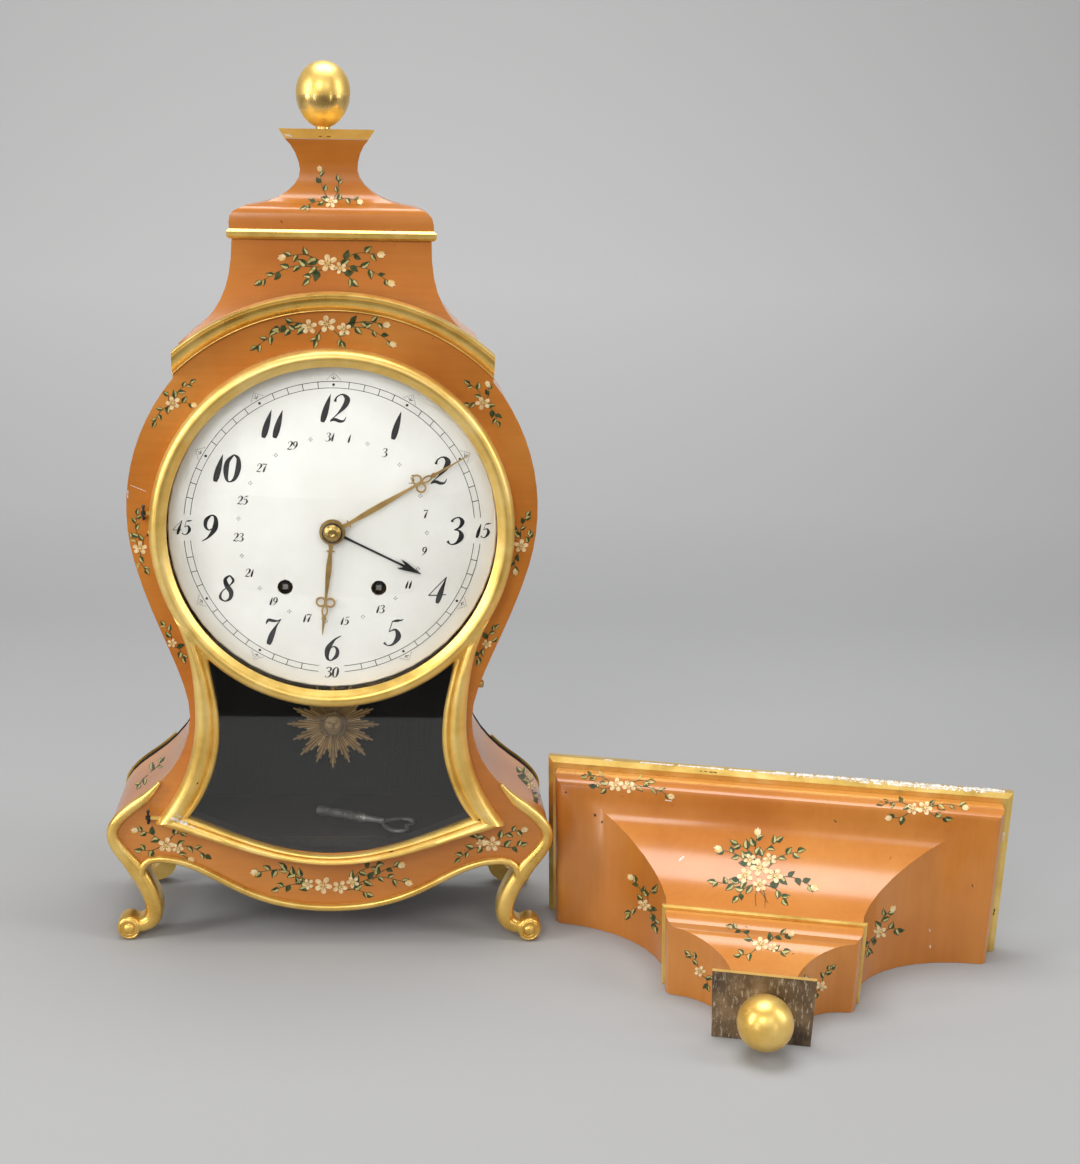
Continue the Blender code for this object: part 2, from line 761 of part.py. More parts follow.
def box(x0, x1, y0, y1, z0, z1):
    return slab(rectangle(x0, z0, x1, z1), y0, y1)


def rod(start, end, radius, count=PIN):
    """Round bar between two points."""
    start = Vector(start)
    way = Vector(end) - start
    turn = way.to_track_quat("Z", "Y").to_matrix()
    rings = []
    for along in (0, 1):
        ring = [Vector((x, y, 0)) for x, y in circle((0, 0), radius, count)]
        rings.append([start + way * along + turn @ p for p in ring])
    return loft(rings)


def moved(bm, matrix):
    bmesh.ops.transform(bm, matrix=matrix, verts=bm.verts)
    bmesh.ops.recalc_face_normals(bm, faces=bm.faces)
    return bm


# Objects and materials

def clear_scene():
    for thing in list(bpy.data.objects):
        bpy.data.objects.remove(thing, do_unlink=True)


def material(name, colour, roughness, metallic=0.0):
    made = bpy.data.materials.new(name)
    made.use_nodes = True
    shader = made.node_tree.nodes["Principled BSDF"]
    shader.inputs["Base Color"].default_value = (*colour, 1.0)
    shader.inputs["Roughness"].default_value = roughness
    shader.inputs["Metallic"].default_value = metallic
    return made


def empty(name, parent=None, location=(0, 0, 0), turn=0.0):
    made = bpy.data.objects.new(name, None)
    bpy.context.scene.collection.objects.link(made)
    made.parent = parent
    made.location = location
    made.rotation_euler = (0, 0, turn)
    return made


def mesh_object(name, bm):
    mesh = bpy.data.meshes.new(name)
    bm.to_mesh(mesh)
    bm.free()
    made = bpy.data.objects.new(name, mesh)
    bpy.context.scene.collection.objects.link(made)
    return made


def add(name, bm, finish, parent, origin=(0, 0, 0)):
    """Put a solid in the scene with its origin at a point of its parent's frame."""
    bmesh.ops.translate(bm, verts=bm.verts, vec=-Vector(origin))
    made = mesh_object(name, bm)
    made.parent = parent
    made.location = origin
    made.data.materials.append(finish)
    made.data.shade_smooth()
    made.data.set_sharp_from_angle(angle=radians(35))
    return made


def combine(piece, operation, *tools):
    """Join tools to a piece, or cut them out of it."""
    for i, bm in enumerate(tools):
        tool = mesh_object(f"{piece.name}_tool_{i}", bm)
        tool.parent = piece.parent
        tool.hide_render = True
        tool.display_type = "WIRE"
        change = piece.modifiers.new(f"{operation.lower()}_{i}", "BOOLEAN")
        change.operation = operation
        change.solver = "EXACT"
        change.object = tool
    return piece


# Case

def front_panel_loop():
    half = apron_curve() + list(reversed(side_curve()))
    end = asin(SHOULDER_HALF / ARCH_RADIUS)
    half += arc((0, ARCH_CENTRE_Z), ARCH_RADIUS, pi / 2 - end, pi / 2, 14)
    return mirrored(half)


def back_board_loop():
    half = apron_curve() + list(reversed(side_curve())) + [(0, SHOULDER_Z)]
    return mirrored(half)


def side_panel(name, side, finish, clock):
    outer = side_curve()
    inner = offset(outer, -SIDE_THICK, closed=False)
    band = [(side * x, z) for x, z in outer + list(reversed(inner))]
    return add(name, slab(band, FRONT_THICK + GAP, BACK_INNER_Y - GAP), finish, clock)


def button_edge():
    """Outer half width of the case where the release button comes out."""
    return crossing(side_curve(), BUTTON_Z)


def build_case(clock, lacquer, gilt, bare_wood):
    add("front_panel", slab(front_panel_loop(), 0, FRONT_THICK, opening_loop()), lacquer, clock)
    side_panel("side_panel_left", -1, lacquer, clock)
    right = side_panel("side_panel_right", 1, lacquer, clock)
    button_y = FRONT_THICK + BUTTON_SETBACK
    reach = SIDE_THICK * 2
    hole = [(0, button_edge() - reach), (BUTTON_RADIUS + GAP, button_edge() - reach)]
    hole += [(BUTTON_RADIUS + GAP, button_edge() + reach), (0, button_edge() + reach)]
    combine(right, "DIFFERENCE", turned(hole, SMALL, lying(button_y, BUTTON_Z)))
    add("back_board", slab(back_board_loop(), BACK_INNER_Y, CASE_DEPTH), lacquer, clock)

    half = inner_half(FLOOR_TOP_Z - FLOOR_THICK, FLOOR_TOP_Z)
    floor = box(-half, half, FRONT_THICK + GAP, BACK_INNER_Y - GAP, FLOOR_TOP_Z - FLOOR_THICK, FLOOR_TOP_Z)
    add("bottom_board", floor, bare_wood, clock)

    half = inner_half(SEAT_TOP_Z - SEAT_THICK, SEAT_TOP_Z)
    seat = box(-half, half, SEAT_FRONT_Y, SEAT_BACK_Y, SEAT_TOP_Z - SEAT_THICK, SEAT_TOP_Z)
    add("seat_board", seat, bare_wood, clock)

    y0 = FRONT_THICK + GAP
    y1 = CASE_DEPTH
    rim = rectangle(-SHOULDER_HALF, y0, SHOULDER_HALF, y1)
    hole = rectangle(-TOP_OPENING_HALF, y0 + TOP_OPENING_MARGIN, TOP_OPENING_HALF, y1 - TOP_OPENING_MARGIN)
    top = slab(rim, -TOP_BOARD_Z - TOP_THICK, -TOP_BOARD_Z, hole)
    add("top_board", moved(top, Matrix.Rotation(-pi / 2, 4, "X")), lacquer, clock)

    add("arch_cornice", cornice(), gilt, clock)


def cornice():
    """Cove moulding that laps over the front panel's arched edge, cut off upright at the shoulders."""
    base = ARCH_RADIUS - CORNICE_LAP
    seat = ARCH_RADIUS + GAP
    top = ARCH_RADIUS + CORNICE_RISE
    cove = bezier((base, -GAP), (base, -CORNICE_OUT * 0.6), (top - CORNICE_OUT * 0.7, -CORNICE_OUT),
                  (top - CORNICE_LIP, -CORNICE_OUT), 5)
    section = cove + [(top, -CORNICE_OUT), (top, FRONT_THICK), (seat, FRONT_THICK), (seat, -GAP)]
    steps = 28
    rings = []
    for i in range(steps + 1):
        share = 2 * i / steps - 1
        ring = []
        for radius, y in section:
            x, z = polar((0, ARCH_CENTRE_Z), radius, pi / 2 - share * asin(SHOULDER_HALF / radius))
            ring.append((x, y, z))
        rings.append(ring)
    bm = bmesh.new()
    made = [[bm.verts.new(p) for p in ring] for ring in rings]
    for first, second in zip(made, made[1:]):
        bridge(bm, first, second)
    fill(bm, [made[0]], (1, 2))
    fill(bm, [made[-1]], (1, 2))
    return finished(bm)


# Hood

def flat_ring(half, half_depth, z, lean=0):
    x = HOOD_X + lean
    y = HOOD_CENTRE_Y
    return [(px, py, z) for px, py in rectangle(x - half, y - half_depth, x + half, y + half_depth)]


def hood_rings(inset):
    """Rings of the lower hood's outer face, or of its inner face at an inset."""
    foot = (HOOD_FOOT_HALF, HOOD_Z + HOOD_FOOT_HEIGHT)
    top = (HOOD_TOP_HALF, HOOD_Z + HOOD_HEIGHT)
    lean = HOOD_FOOT_HALF - HOOD_TOP_HALF
    handle = (foot[0] - lean * 0.6, foot[1] + HOOD_EASE * 0.38)
    curve = [(HOOD_FOOT_HALF, HOOD_Z)] + bezier(foot, handle, (top[0], top[1] - HOOD_EASE), top, 9)
    rings = []
    for half, z in curve:
        share = (half - HOOD_TOP_HALF) / lean
        half_depth = HOOD_TOP_HALF_DEPTH + share * (HOOD_FOOT_HALF_DEPTH - HOOD_TOP_HALF_DEPTH)
        height = min(z, HOOD_Z + HOOD_HEIGHT - inset)
        rings.append(flat_ring(half - inset, half_depth - inset, height))
    return rings


def cap_rings():
    shoulder = (HOOD_TOP_HALF + BAND_PROUD / 2, CAP_Z)
    bend = (shoulder[0] - CAP_SHOULDER_IN, CAP_Z + CAP_SHOULDER_HEIGHT)
    neck = (CAP_NECK_HALF, CAP_Z + CAP_NECK_HEIGHT)
    top = (CAP_NECK_HALF + CAP_TOP_FLARE, CAP_Z + CAP_HEIGHT)
    rise = CAP_SHOULDER_HEIGHT
    curve = bezier((shoulder[0], CAP_Z + rise * 0.25), (shoulder[0], CAP_Z + rise * 0.8),
                   (shoulder[0] - CAP_SHOULDER_IN * 0.4, bend[1] - rise * 0.12), bend, 5)
    handle = (bend[0] - CAP_SHOULDER_IN * 0.75, bend[1] + rise * 0.16)
    curve += bezier(bend, handle, (neck[0], neck[1] - rise * 0.6), neck, 6)[1:]
    handle = (top[0] - CAP_TOP_FLARE * 0.6, top[1] - rise * 0.26)
    curve += bezier(neck, (neck[0], neck[1] + rise * 0.43), handle, top, 4)[1:]
    slope = (HOOD_TOP_HALF_DEPTH - CAP_NECK_HALF_DEPTH) / (shoulder[0] - CAP_NECK_HALF)
    rings = [flat_ring(shoulder[0], HOOD_TOP_HALF_DEPTH, CAP_Z)]
    for half, z in curve:
        lean = CAP_LEAN * (z - CAP_Z) / CAP_HEIGHT
        rings.append(flat_ring(half, CAP_NECK_HALF_DEPTH + (half - CAP_NECK_HALF) * slope, z, lean))
    return rings


def build_hood(clock, lacquer, gilt):
    outer = hood_rings(0)
    inner = hood_rings(HOOD_WALL)
    bm = bmesh.new()
    made = [[bm.verts.new(p) for p in ring] for ring in list(reversed(outer)) + inner]
    for first, second in zip(made, made[1:]):
        bridge(bm, first, second)
    bm.faces.new(made[0])
    bm.faces.new(made[-1])
    add("hood_body", finished(bm), lacquer, clock)

    half = HOOD_TOP_HALF + BAND_PROUD
    half_depth = HOOD_TOP_HALF_DEPTH + BAND_PROUD
    edge = BAND_HEIGHT * 0.25
    rings = [flat_ring(half - edge, half_depth - edge, BAND_Z), flat_ring(half, half_depth, BAND_Z + edge)]
    rings += [flat_ring(half, half_depth, BAND_Z + BAND_HEIGHT - edge)]
    rings += [flat_ring(half - edge, half_depth - edge, BAND_Z + BAND_HEIGHT)]
    add("hood_band", loft(rings), gilt, clock)
    add("hood_cap", loft(cap_rings()), lacquer, clock)

    half = CAP_NECK_HALF + CAP_TOP_FLARE
    half_depth = cap_rings()[-1][2][1] - HOOD_CENTRE_Y
    rings = [flat_ring(half, half_depth, TOP_PLATE_Z, CAP_LEAN)]
    rings += [flat_ring(half + PLATE_FLARE, half_depth + PLATE_FLARE, TOP_PLATE_Z + PLATE_HEIGHT, CAP_LEAN)]
    add("cap_plate", loft(rings), gilt, clock)

    egg_z = FINIAL_Z + FINIAL_NECK_HEIGHT
    egg_height = FINIAL_HEIGHT - FINIAL_NECK_HEIGHT
    profile = [(0, FINIAL_Z), (FINIAL_NECK_RADIUS, FINIAL_Z), (FINIAL_NECK_RADIUS, egg_z)]
    steps = 10
    for i in range(2, steps):
        turn = pi * i / steps
        swell = 1 + 0.12 * cos(turn)
        profile.append((FINIAL_RADIUS * sin(turn) * swell ** 0.5, egg_z + egg_height * (1 - cos(turn)) / 2))
    profile.append((0, egg_z + egg_height))
    add("finial", turned(profile, 20, upright(FINIAL_X, HOOD_CENTRE_Y)), gilt, clock)


# Legs and edging

def moulding(path, widths, spans):
    """Moulding along a path in the front plane; each point has a width and a (front, back) span in y."""
    rings = []
    for point, side, width, (front, back) in zip(path, normals(path, False), widths, spans):
        round_off = min(width, back - front) * 0.3
        half = width / 2
        section = [(-half, back), (-half, front + round_off), (-half + round_off, front)]
        section += [(half - round_off, front), (half, front + round_off), (half, back)]
        rings.append([(point[0] + side[0] * s, y, point[1] + side[1] * s) for s, y in section])
    return loft(rings)


def leg_path():
    """Front right leg from the edging's tip to the scroll: middle line, widths, count of thin points."""
    edge = [p for p in side_curve() if p[1] <= EDGING_START_Z]
    run = 0.0
    widths = []
    for i, point in enumerate(edge):
        if i:
            run += hypot(point[0] - edge[i - 1][0], point[1] - edge[i - 1][1])
        grown = EDGING_TIP_WIDTH + (EDGING_WIDTH - EDGING_TIP_WIDTH) * min(run / EDGING_TAPER, 1)
        below = max(BELLY_Z - point[1], 0) / (BELLY_Z - KNEE_Z)
        widths.append(grown + below * (LEG_WIDTH - EDGING_WIDTH) * 0.8)
    sides = normals(edge, False)
    middle = []
    for p, n, width in zip(edge, sides, widths):
        inset = width / 2 - EDGING_PROUD
        middle.append((p[0] - n[0] * inset, p[1] - n[1] * inset))
    way = heading(middle[-2], middle[-1])
    foot = (FOOT_HALF, SCROLL_RADIUS)
    start = middle[-1]
    foot_handle = (FOOT_HALF - LEG_BULGE, SCROLL_RADIUS * 0.9)
    lower = bezier(start, polar(start, LEG_REACH, way), foot_handle, foot, 9)[1:]
    widths += [LEG_WIDTH] * 6 + [LEG_WIDTH * share for share in (0.95, 0.85, 0.75)]
    return middle + lower, widths, len(middle) + 1


def scroll():
    """Scroll at the foot, with a flat facet down."""
    count = SMALL
    phase = pi / count
    centre = (FOOT_HALF, SCROLL_RADIUS * cos(phase))
    disc = circle(centre, SCROLL_RADIUS, count, phase)
    knob = circle(centre, SCROLL_KNOB_RADIUS, PIN, phase)
    front = -EDGING_RELIEF - SCROLL_PROUD
    depth = LEG_DEPTH * 0.96 - front
    return stack(front - SCROLL_KNOB_PROUD, (knob, None, SCROLL_KNOB_PROUD), (disc, None, depth))


def build_legs(clock, gilt):
    path, widths, thin = leg_path()
    front = -GAP - EDGING_RELIEF
    spans = [(front, -GAP)] * thin + [(front, LEG_DEPTH)] * (len(path) - thin)
    corners = (("front_left", -1, 0), ("front_right", 1, 0), ("rear_left", -1, 1), ("rear_right", 1, 1))
    for name, side, back in corners:
        place = Matrix.Diagonal((side, -1 if back else 1, 1, 1))
        place.translation = (0, CASE_DEPTH if back else 0, 0)
        leg = add(f"leg_{name}", moved(moulding(path, widths, spans), place), gilt, clock)
        combine(leg, "UNION", moved(scroll(), place))

    rise = APRON_EDGING_WIDTH / 2
    half = offset(apron_curve(), rise, closed=False)
    half.append((APRON_PEAK_HALF + APRON_EDGING_END, APRON_PEAK_Z + rise * 0.3))
    path = [(-x, z) for x, z in reversed(half[1:])] + [(0, APRON_Z + rise)] + half[1:]
    widths = [APRON_EDGING_WIDTH] * len(path)
    add("apron_edging", moulding(path, widths, [(front, -GAP)] * len(path)), gilt, clock)


# Door

def build_door(clock, gilt, glass, brass):
    rim = door_outline()
    window = window_loop()
    soft = DOOR_ROUND
    steps = [(soft, 0), (soft * 0.3, soft * 0.35), (0, soft)]
    rim_rings = [(offset(rim, inset), DOOR_FRONT_Y + drop) for inset, drop in steps] + [(rim, DOOR_BACK_Y)]
    ring_radius = BEZEL_RADIUS - BEZEL_WIDTH
    bezel_rings = [(circle(CENTRE, ring_radius + inset, FINE), DOOR_FRONT_Y + drop) for inset, drop in steps]
    bezel_rings.append((circle(CENTRE, ring_radius, FINE), GLASS_Y))
    seat = circle(CENTRE, ring_radius + GLASS_REBATE, FINE)
    bezel_rings += [(seat, GLASS_Y), (seat, DOOR_BACK_Y)]
    window_rings = [(offset(window, -inset), DOOR_FRONT_Y + drop) for inset, drop in steps]
    window_rings.append((window, GLASS_Y))
    window_seat = offset(window, -GLASS_REBATE)
    window_rings += [(window_seat, GLASS_Y), (window_seat, DOOR_BACK_Y)]
    frame = add("door_frame", board(rim_rings, bezel_rings, window_rings), gilt, clock, (HINGE_X, HINGE_Y, 0))

    hinges = (("upper", DIAL_Z, BEZEL_RADIUS), ("lower", DOOR_TIP_Z, DOOR_TIP_HALF))
    for name, z, edge in hinges:
        half = HINGE_EYE_HALF
        eye = box(HINGE_X - half, -edge + HINGE_WEB, HINGE_Y - half, HINGE_Y + half, z, z + HINGE_EYE_HEIGHT)
        combine(frame, "UNION", eye)
    for name, z, edge in hinges:
        low = (HINGE_X, HINGE_Y, z - HINGE_EYE_HEIGHT)
        high = (HINGE_X, HINGE_Y, z + 2 * HINGE_EYE_HEIGHT)
        combine(frame, "DIFFERENCE", rod(low, high, HINGE_PIN_RADIUS + GAP))
        half = HINGE_ARM_HALF
        arm_top = z - GAP
        arm = box(HINGE_X - half, HINGE_X + half, HINGE_Y - half, -GAP, arm_top - HINGE_ARM_HEIGHT, arm_top)
        hinge = add(f"hinge_{name}", arm, brass, clock)
        pin_foot = (HINGE_X, HINGE_Y, arm_top - HINGE_ARM_HEIGHT / 2)
        combine(hinge, "UNION", rod(pin_foot, (HINGE_X, HINGE_Y, z + HINGE_EYE_HEIGHT), HINGE_PIN_RADIUS))

    rim_radius = ring_radius + GLASS_REBATE - GAP
    sight = ring_radius - GLASS_REBATE
    bend = (sight ** 2 + DOME_RISE ** 2) / (2 * DOME_RISE)
    outer = []
    steps = 5
    for i in range(steps + 1):
        radius = sight * (1 - i / steps)
        outer.append((radius, GLASS_Y + GAP - (sqrt(bend ** 2 - radius ** 2) - bend + DOME_RISE)))
    inner = [(radius, y + GLASS_THICK) for radius, y in reversed(outer)]
    profile = outer[::-1] + [(rim_radius, GLASS_Y + GAP)]
    profile += [(rim_radius, GLASS_Y + GAP + GLASS_THICK)] + inner[::-1]
    add("dial_glass", turned(profile, FINE, facing(CENTRE)), glass, clock, (HINGE_X, HINGE_Y, 0))
    pane = offset(window, -(GLASS_REBATE - GAP))
    pane_y = GLASS_Y + GAP
    add("window_glass", slab(pane, pane_y, pane_y + GLASS_THICK), glass, clock, (HINGE_X, HINGE_Y, 0))


def build_release(clock, brass):
    edge = button_edge()
    y = FRONT_THICK + BUTTON_SETBACK
    inside = inner_half(BUTTON_Z - BUTTON_COLLAR_RADIUS, BUTTON_Z + BUTTON_COLLAR_RADIUS)
    collar = inside - BUTTON_COLLAR_THICK
    round_off = BUTTON_RADIUS * 0.3
    tip = edge + BUTTON_PROUD
    profile = [(0, collar), (BUTTON_COLLAR_RADIUS, collar), (BUTTON_COLLAR_RADIUS, inside)]
    profile += [(BUTTON_RADIUS, inside), (BUTTON_RADIUS, tip - round_off), (BUTTON_RADIUS - round_off, tip)]
    profile += [(0, tip)]
    add("release_button", turned(profile, SMALL, lying(y, BUTTON_Z)), brass, clock, (edge, y, BUTTON_Z))

    leaf_x = collar - BUTTON_TRAVEL - GAP - CATCH_THICK
    front = FRONT_THICK + GAP
    low = BUTTON_Z - CATCH_HALF_HEIGHT
    high = BUTTON_Z + CATCH_HALF_HEIGHT
    bend = [(leaf_x, front), (leaf_x + CATCH_FOOT, front), (leaf_x + CATCH_FOOT, front + CATCH_THICK)]
    bend += [(leaf_x + CATCH_THICK, front + CATCH_THICK), (leaf_x + CATCH_THICK, front + CATCH_REACH)]
    bend += [(leaf_x, front + CATCH_REACH)]
    catch = loft([[(x, y, z) for x, y in bend] for z in (low, high)])
    add("door_catch", catch, brass, clock)


# Dial and hands

def hand_loop(length, boss_radius, loop_at, reading):
    """Outline of a hand with a boss, a pierced swelling and a pointed tip, set to its reading."""
    loop_z = length * loop_at
    half = [(0, -boss_radius)]
    half += arc((0, 0), boss_radius, -pi / 2, acos(HAND_TAIL_HALF / boss_radius), 8)[1:]
    half += [(HAND_TAIL_HALF, loop_z - HAND_LOOP_HALF * 2), (HAND_LOOP_HALF, loop_z - HAND_LOOP_HALF * 0.6)]
    half += [(HAND_LOOP_HALF, loop_z + HAND_LOOP_HALF * 0.4), (HAND_TAIL_HALF, loop_z + HAND_LOOP_HALF * 1.6)]
    half += [(0, length)]
    return [polar(CENTRE, hypot(x, z), atan2(z, x) - reading) for x, z in mirrored(half)]


def dial_face_y(radius):
    """Front of the swelling dial at a distance from its centre."""
    return DIAL_SETBACK - DIAL_RISE * (1 - (radius / DIAL_RADIUS) ** 2)


def leaning(bm, share, power=1):
    """Lean a hand back beyond its boss by a share of the dial's fall; a power of two bends it."""
    for v in bm.verts:
        reach = max(0, hypot(v.co.x, v.co.z - DIAL_Z) - HOUR_BOSS_RADIUS)
        v.co.y += DIAL_RISE * share * (reach / DIAL_RADIUS) ** power
    return bm


def build_dial(clock, enamel, brass, dark_steel):
    edge = DIAL_THICK / 2
    span = DIAL_RADIUS - edge - DIAL_HOLE_RADIUS
    steps = 6
    radii = [DIAL_HOLE_RADIUS + span * i / steps for i in range(steps + 1)]
    profile = [(radius, dial_face_y(radius)) for radius in radii]
    profile.append((DIAL_RADIUS, DIAL_SETBACK + edge))
    profile += [(radius, dial_face_y(radius) + DIAL_THICK) for radius in reversed(radii)]
    dial = add("dial", turned(profile, FINE, facing(CENTRE), closed=True), enamel, clock)
    holes = []
    for x, z in (GOING, STRIKE):
        holes.append(rod((x, -DIAL_RISE, z), (x, DIAL_RISE, z), WINDING_HOLE_RADIUS, SMALL))
    combine(dial, "DIFFERENCE", *holes)

    origin = (0, 0, DIAL_Z)
    pipe = circle(CENTRE, DATE_PIPE_RADIUS, SMALL)
    bore = circle(CENTRE, HOUR_PIPE_RADIUS + GAP, SMALL)
    blade = hand_loop(DATE_HAND_LENGTH, DATE_BOSS_RADIUS, 0.85, DATE_READING)
    flange = circle(CENTRE, DATE_BOSS_RADIUS, SMALL)
    through = DIAL_THICK + 2 * GAP
    date = stack(DATE_HAND_Y, (blade, bore, HAND_THICK), (pipe, bore, through), (flange, bore, HAND_THICK))
    add("date_hand", leaning(date, DATE_LEAN, 2), dark_steel, clock, origin)

    blade = hand_loop(HOUR_HAND_LENGTH, HOUR_BOSS_RADIUS, 0.68, HOUR_READING)
    eye = circle(CENTRE, HOUR_PIPE_RADIUS + GAP, SMALL)
    hour = slab(blade, HOUR_HAND_Y, HOUR_HAND_Y + HAND_THICK, eye)
    add("hour_hand", leaning(hour, HOUR_LEAN), brass, clock, origin)
    blade = hand_loop(MINUTE_HAND_LENGTH, MINUTE_BOSS_RADIUS, 0.63, MINUTE_READING)
    eye = circle(CENTRE, CANNON_RADIUS + GAP, SMALL)
    minute = slab(blade, MINUTE_HAND_Y, MINUTE_HAND_Y + HAND_THICK, eye)
    add("minute_hand", leaning(minute, MINUTE_LEAN), brass, clock, origin)
    profile = [(0, NUT_Y), (NUT_RADIUS, NUT_Y), (NUT_RADIUS, NUT_Y - NUT_HEIGHT * 0.3)]
    profile += [(NUT_RADIUS * 0.6, NUT_Y - NUT_HEIGHT), (0, NUT_Y - NUT_HEIGHT)]
    add("hand_nut", turned(profile, SMALL, facing(CENTRE)), brass, clock, origin)


def build_motion_work(clock, brass):
    bore = circle(CENTRE, CENTRE_TIP_RADIUS + GAP, SMALL)
    pipe = circle(CENTRE, CANNON_RADIUS, SMALL)
    pinion = pinion_facing(CENTRE, MINUTE, CANNON_LEAVES, MINUTE_MODULE)
    wheel_y = PLATE_SETBACK - MINUTE_LAYER - WHEEL_THICK
    leaves_y = wheel_y - PINION_EXTRA
    leaves = WHEEL_THICK + 2 * PINION_EXTRA
    front = MINUTE_HAND_Y
    back = PLATE_SETBACK - GAP
    layers = [(pipe, bore, leaves_y - front), (pinion, bore, leaves), (pipe, bore, back - leaves_y - leaves)]
    add("cannon_pinion", stack(front, *layers), brass, clock, (0, 0, DIAL_Z))

    hour_y = PLATE_SETBACK - HOUR_LAYER - WHEEL_THICK
    wheel = wheel_facing(MINUTE, CENTRE, MINUTE_TEETH, MINUTE_MODULE)
    pinion = pinion_facing(MINUTE, CENTRE, MINUTE_LEAVES, HOUR_MODULE)
    arbor = circle(MINUTE, ARBOR_RADIUS, PIN)
    pivot = circle(MINUTE, PIVOT_RADIUS, PIN)
    tip_y = hour_y - PINION_EXTRA
    pinion_end = hour_y + WHEEL_THICK + PINION_EXTRA
    layers = [(pinion, None, pinion_end - tip_y), (arbor, None, wheel_y - pinion_end)]
    layers += [(wheel, None, WHEEL_THICK), (arbor, None, back - wheel_y - WHEEL_THICK)]
    layers += [(pivot, None, PLATE_THICK)]
    add("minute_wheel", stack(tip_y, *layers), brass, clock, (MINUTE[0], 0, MINUTE[1]))

    bore = circle(CENTRE, CANNON_RADIUS + GAP, SMALL)
    pipe = circle(CENTRE, HOUR_PIPE_RADIUS, SMALL)
    wheel = wheel_facing(CENTRE, MINUTE, HOUR_TEETH, HOUR_MODULE)
    layers = [(pipe, bore, hour_y - HOUR_HAND_Y), (wheel, bore, WHEEL_THICK)]
    add("hour_wheel", stack(HOUR_HAND_Y, *layers), brass, clock, (0, 0, DIAL_Z))


# Movement

def plate_loop():
    return rectangle(-PLATE_HALF, DIAL_Z - PLATE_BELOW, PLATE_HALF, PLATE_TOP_Z)


def pillar_places():
    x = PLATE_HALF - PILLAR_INSET
    low = DIAL_Z - PLATE_BELOW + PILLAR_INSET_UP
    return [(side * x, z) for side in (-1, 1) for z in (low, PLATE_TOP_Z - PILLAR_INSET_UP)]


def bearing(centre, radius, count):
    """Hole in which an arbor of the given radius turns."""
    return circle(centre, radius + GAP, count)


def build_plates(clock, brass):
    shared = [bearing(c, PIVOT_RADIUS, PIN) for c in (INTERMEDIATE, THIRD, ESCAPE, PIN_ARBOR, FLY, HAMMER)]
    rings = shared + [bearing(c, WINDING_ARBOR_RADIUS, SMALL) for c in (GOING, STRIKE)]
    rings += [bearing(ANCHOR, PIVOT_RADIUS, PIN), bearing(MINUTE, PIVOT_RADIUS, PIN)]
    rings.append(bearing(CENTRE, ARBOR_RADIUS, PIN))
    posts = []
    for place in pillar_places():
        reach = hypot(place[0], place[1] - DIAL_Z) + PILLAR_RADIUS
        posts.append((circle(place, PILLAR_RADIUS, PIN), dial_face_y(reach) + DIAL_THICK + GAP))
    pillar_end = BACK_PLATE_Y - GAP
    front = posted(plate_loop(), PLATE_SETBACK, FRONT_PLATE_BACK_Y, rings, posts, pillar_end)
    add("front_plate", front, brass, clock)
    rings = shared + [bearing(c, PIVOT_RADIUS, PIN) for c in (GOING, STRIKE, CENTRE)]
    rings.append(bearing(ANCHOR, ANCHOR_HUB_RADIUS, SMALL))
    add("back_plate", slab(plate_loop(), BACK_PLATE_Y, BACK_PLATE_END_Y, *rings), brass, clock)


def layer_y(layer):
    return FRONT_PLATE_BACK_Y + layer


def mounted(centre, *wheels):
    """Arbor with pivots in both plates; each wheel is (outline, layer, thickness), front to back."""
    arbor = circle(centre, ARBOR_RADIUS, PIN)
    pivot = circle(centre, PIVOT_RADIUS, PIN)
    start = FRONT_PLATE_BACK_Y + GAP
    end = BACK_PLATE_Y - GAP
    layers = [(pivot, None, PLATE_THICK)]
    y = start
    for outline, layer, thickness in wheels:
        wheel_y = layer_y(layer)
        layers += [(arbor, None, wheel_y - y), (outline, None, thickness)]
        y = wheel_y + thickness
    layers += [(arbor, None, end - y), (pivot, None, PLATE_THICK)]
    return stack(start - PLATE_THICK, *layers)


def leaves_at(outline, layer):
    """Pinion leaves that overlap a wheel's layer on both sides."""
    return (outline, layer - PINION_EXTRA, WHEEL_THICK + 2 * PINION_EXTRA)


def wheel_at(outline, layer):
    return (outline, layer, WHEEL_THICK)


def build_barrel(name, centre, partner, clock, brass, steel):
    teeth = wheel_facing(centre, partner, GREAT_TEETH, GREAT_MODULE)
    drum = circle(centre, BARREL_RADIUS, ROUND)
    bore = circle(centre, WINDING_ARBOR_RADIUS + GAP, SMALL)
    start = layer_y(GREAT_LAYER)
    origin = (centre[0], 0, centre[1])
    barrel = stack(start, (teeth, bore, WHEEL_THICK), (drum, bore, BARREL_LENGTH))
    add(f"{name}_barrel", barrel, brass, clock, origin)

    square = circle(centre, WINDING_ARBOR_RADIUS * 0.9, 4, pi / 4)
    body = circle(centre, WINDING_ARBOR_RADIUS, SMALL)
    pivot = circle(centre, PIVOT_RADIUS, PIN)
    tip = dial_face_y(hypot(WINDING_HALF, WINDING_DROP)) + WINDING_RECESS
    end = BACK_PLATE_Y - GAP
    layers = [(square, None, WINDING_SQUARE_LENGTH), (body, None, end - tip - WINDING_SQUARE_LENGTH)]
    add(f"{name}_winding_arbor", stack(tip, *layers, (pivot, None, PLATE_THICK)), steel, clock, origin)


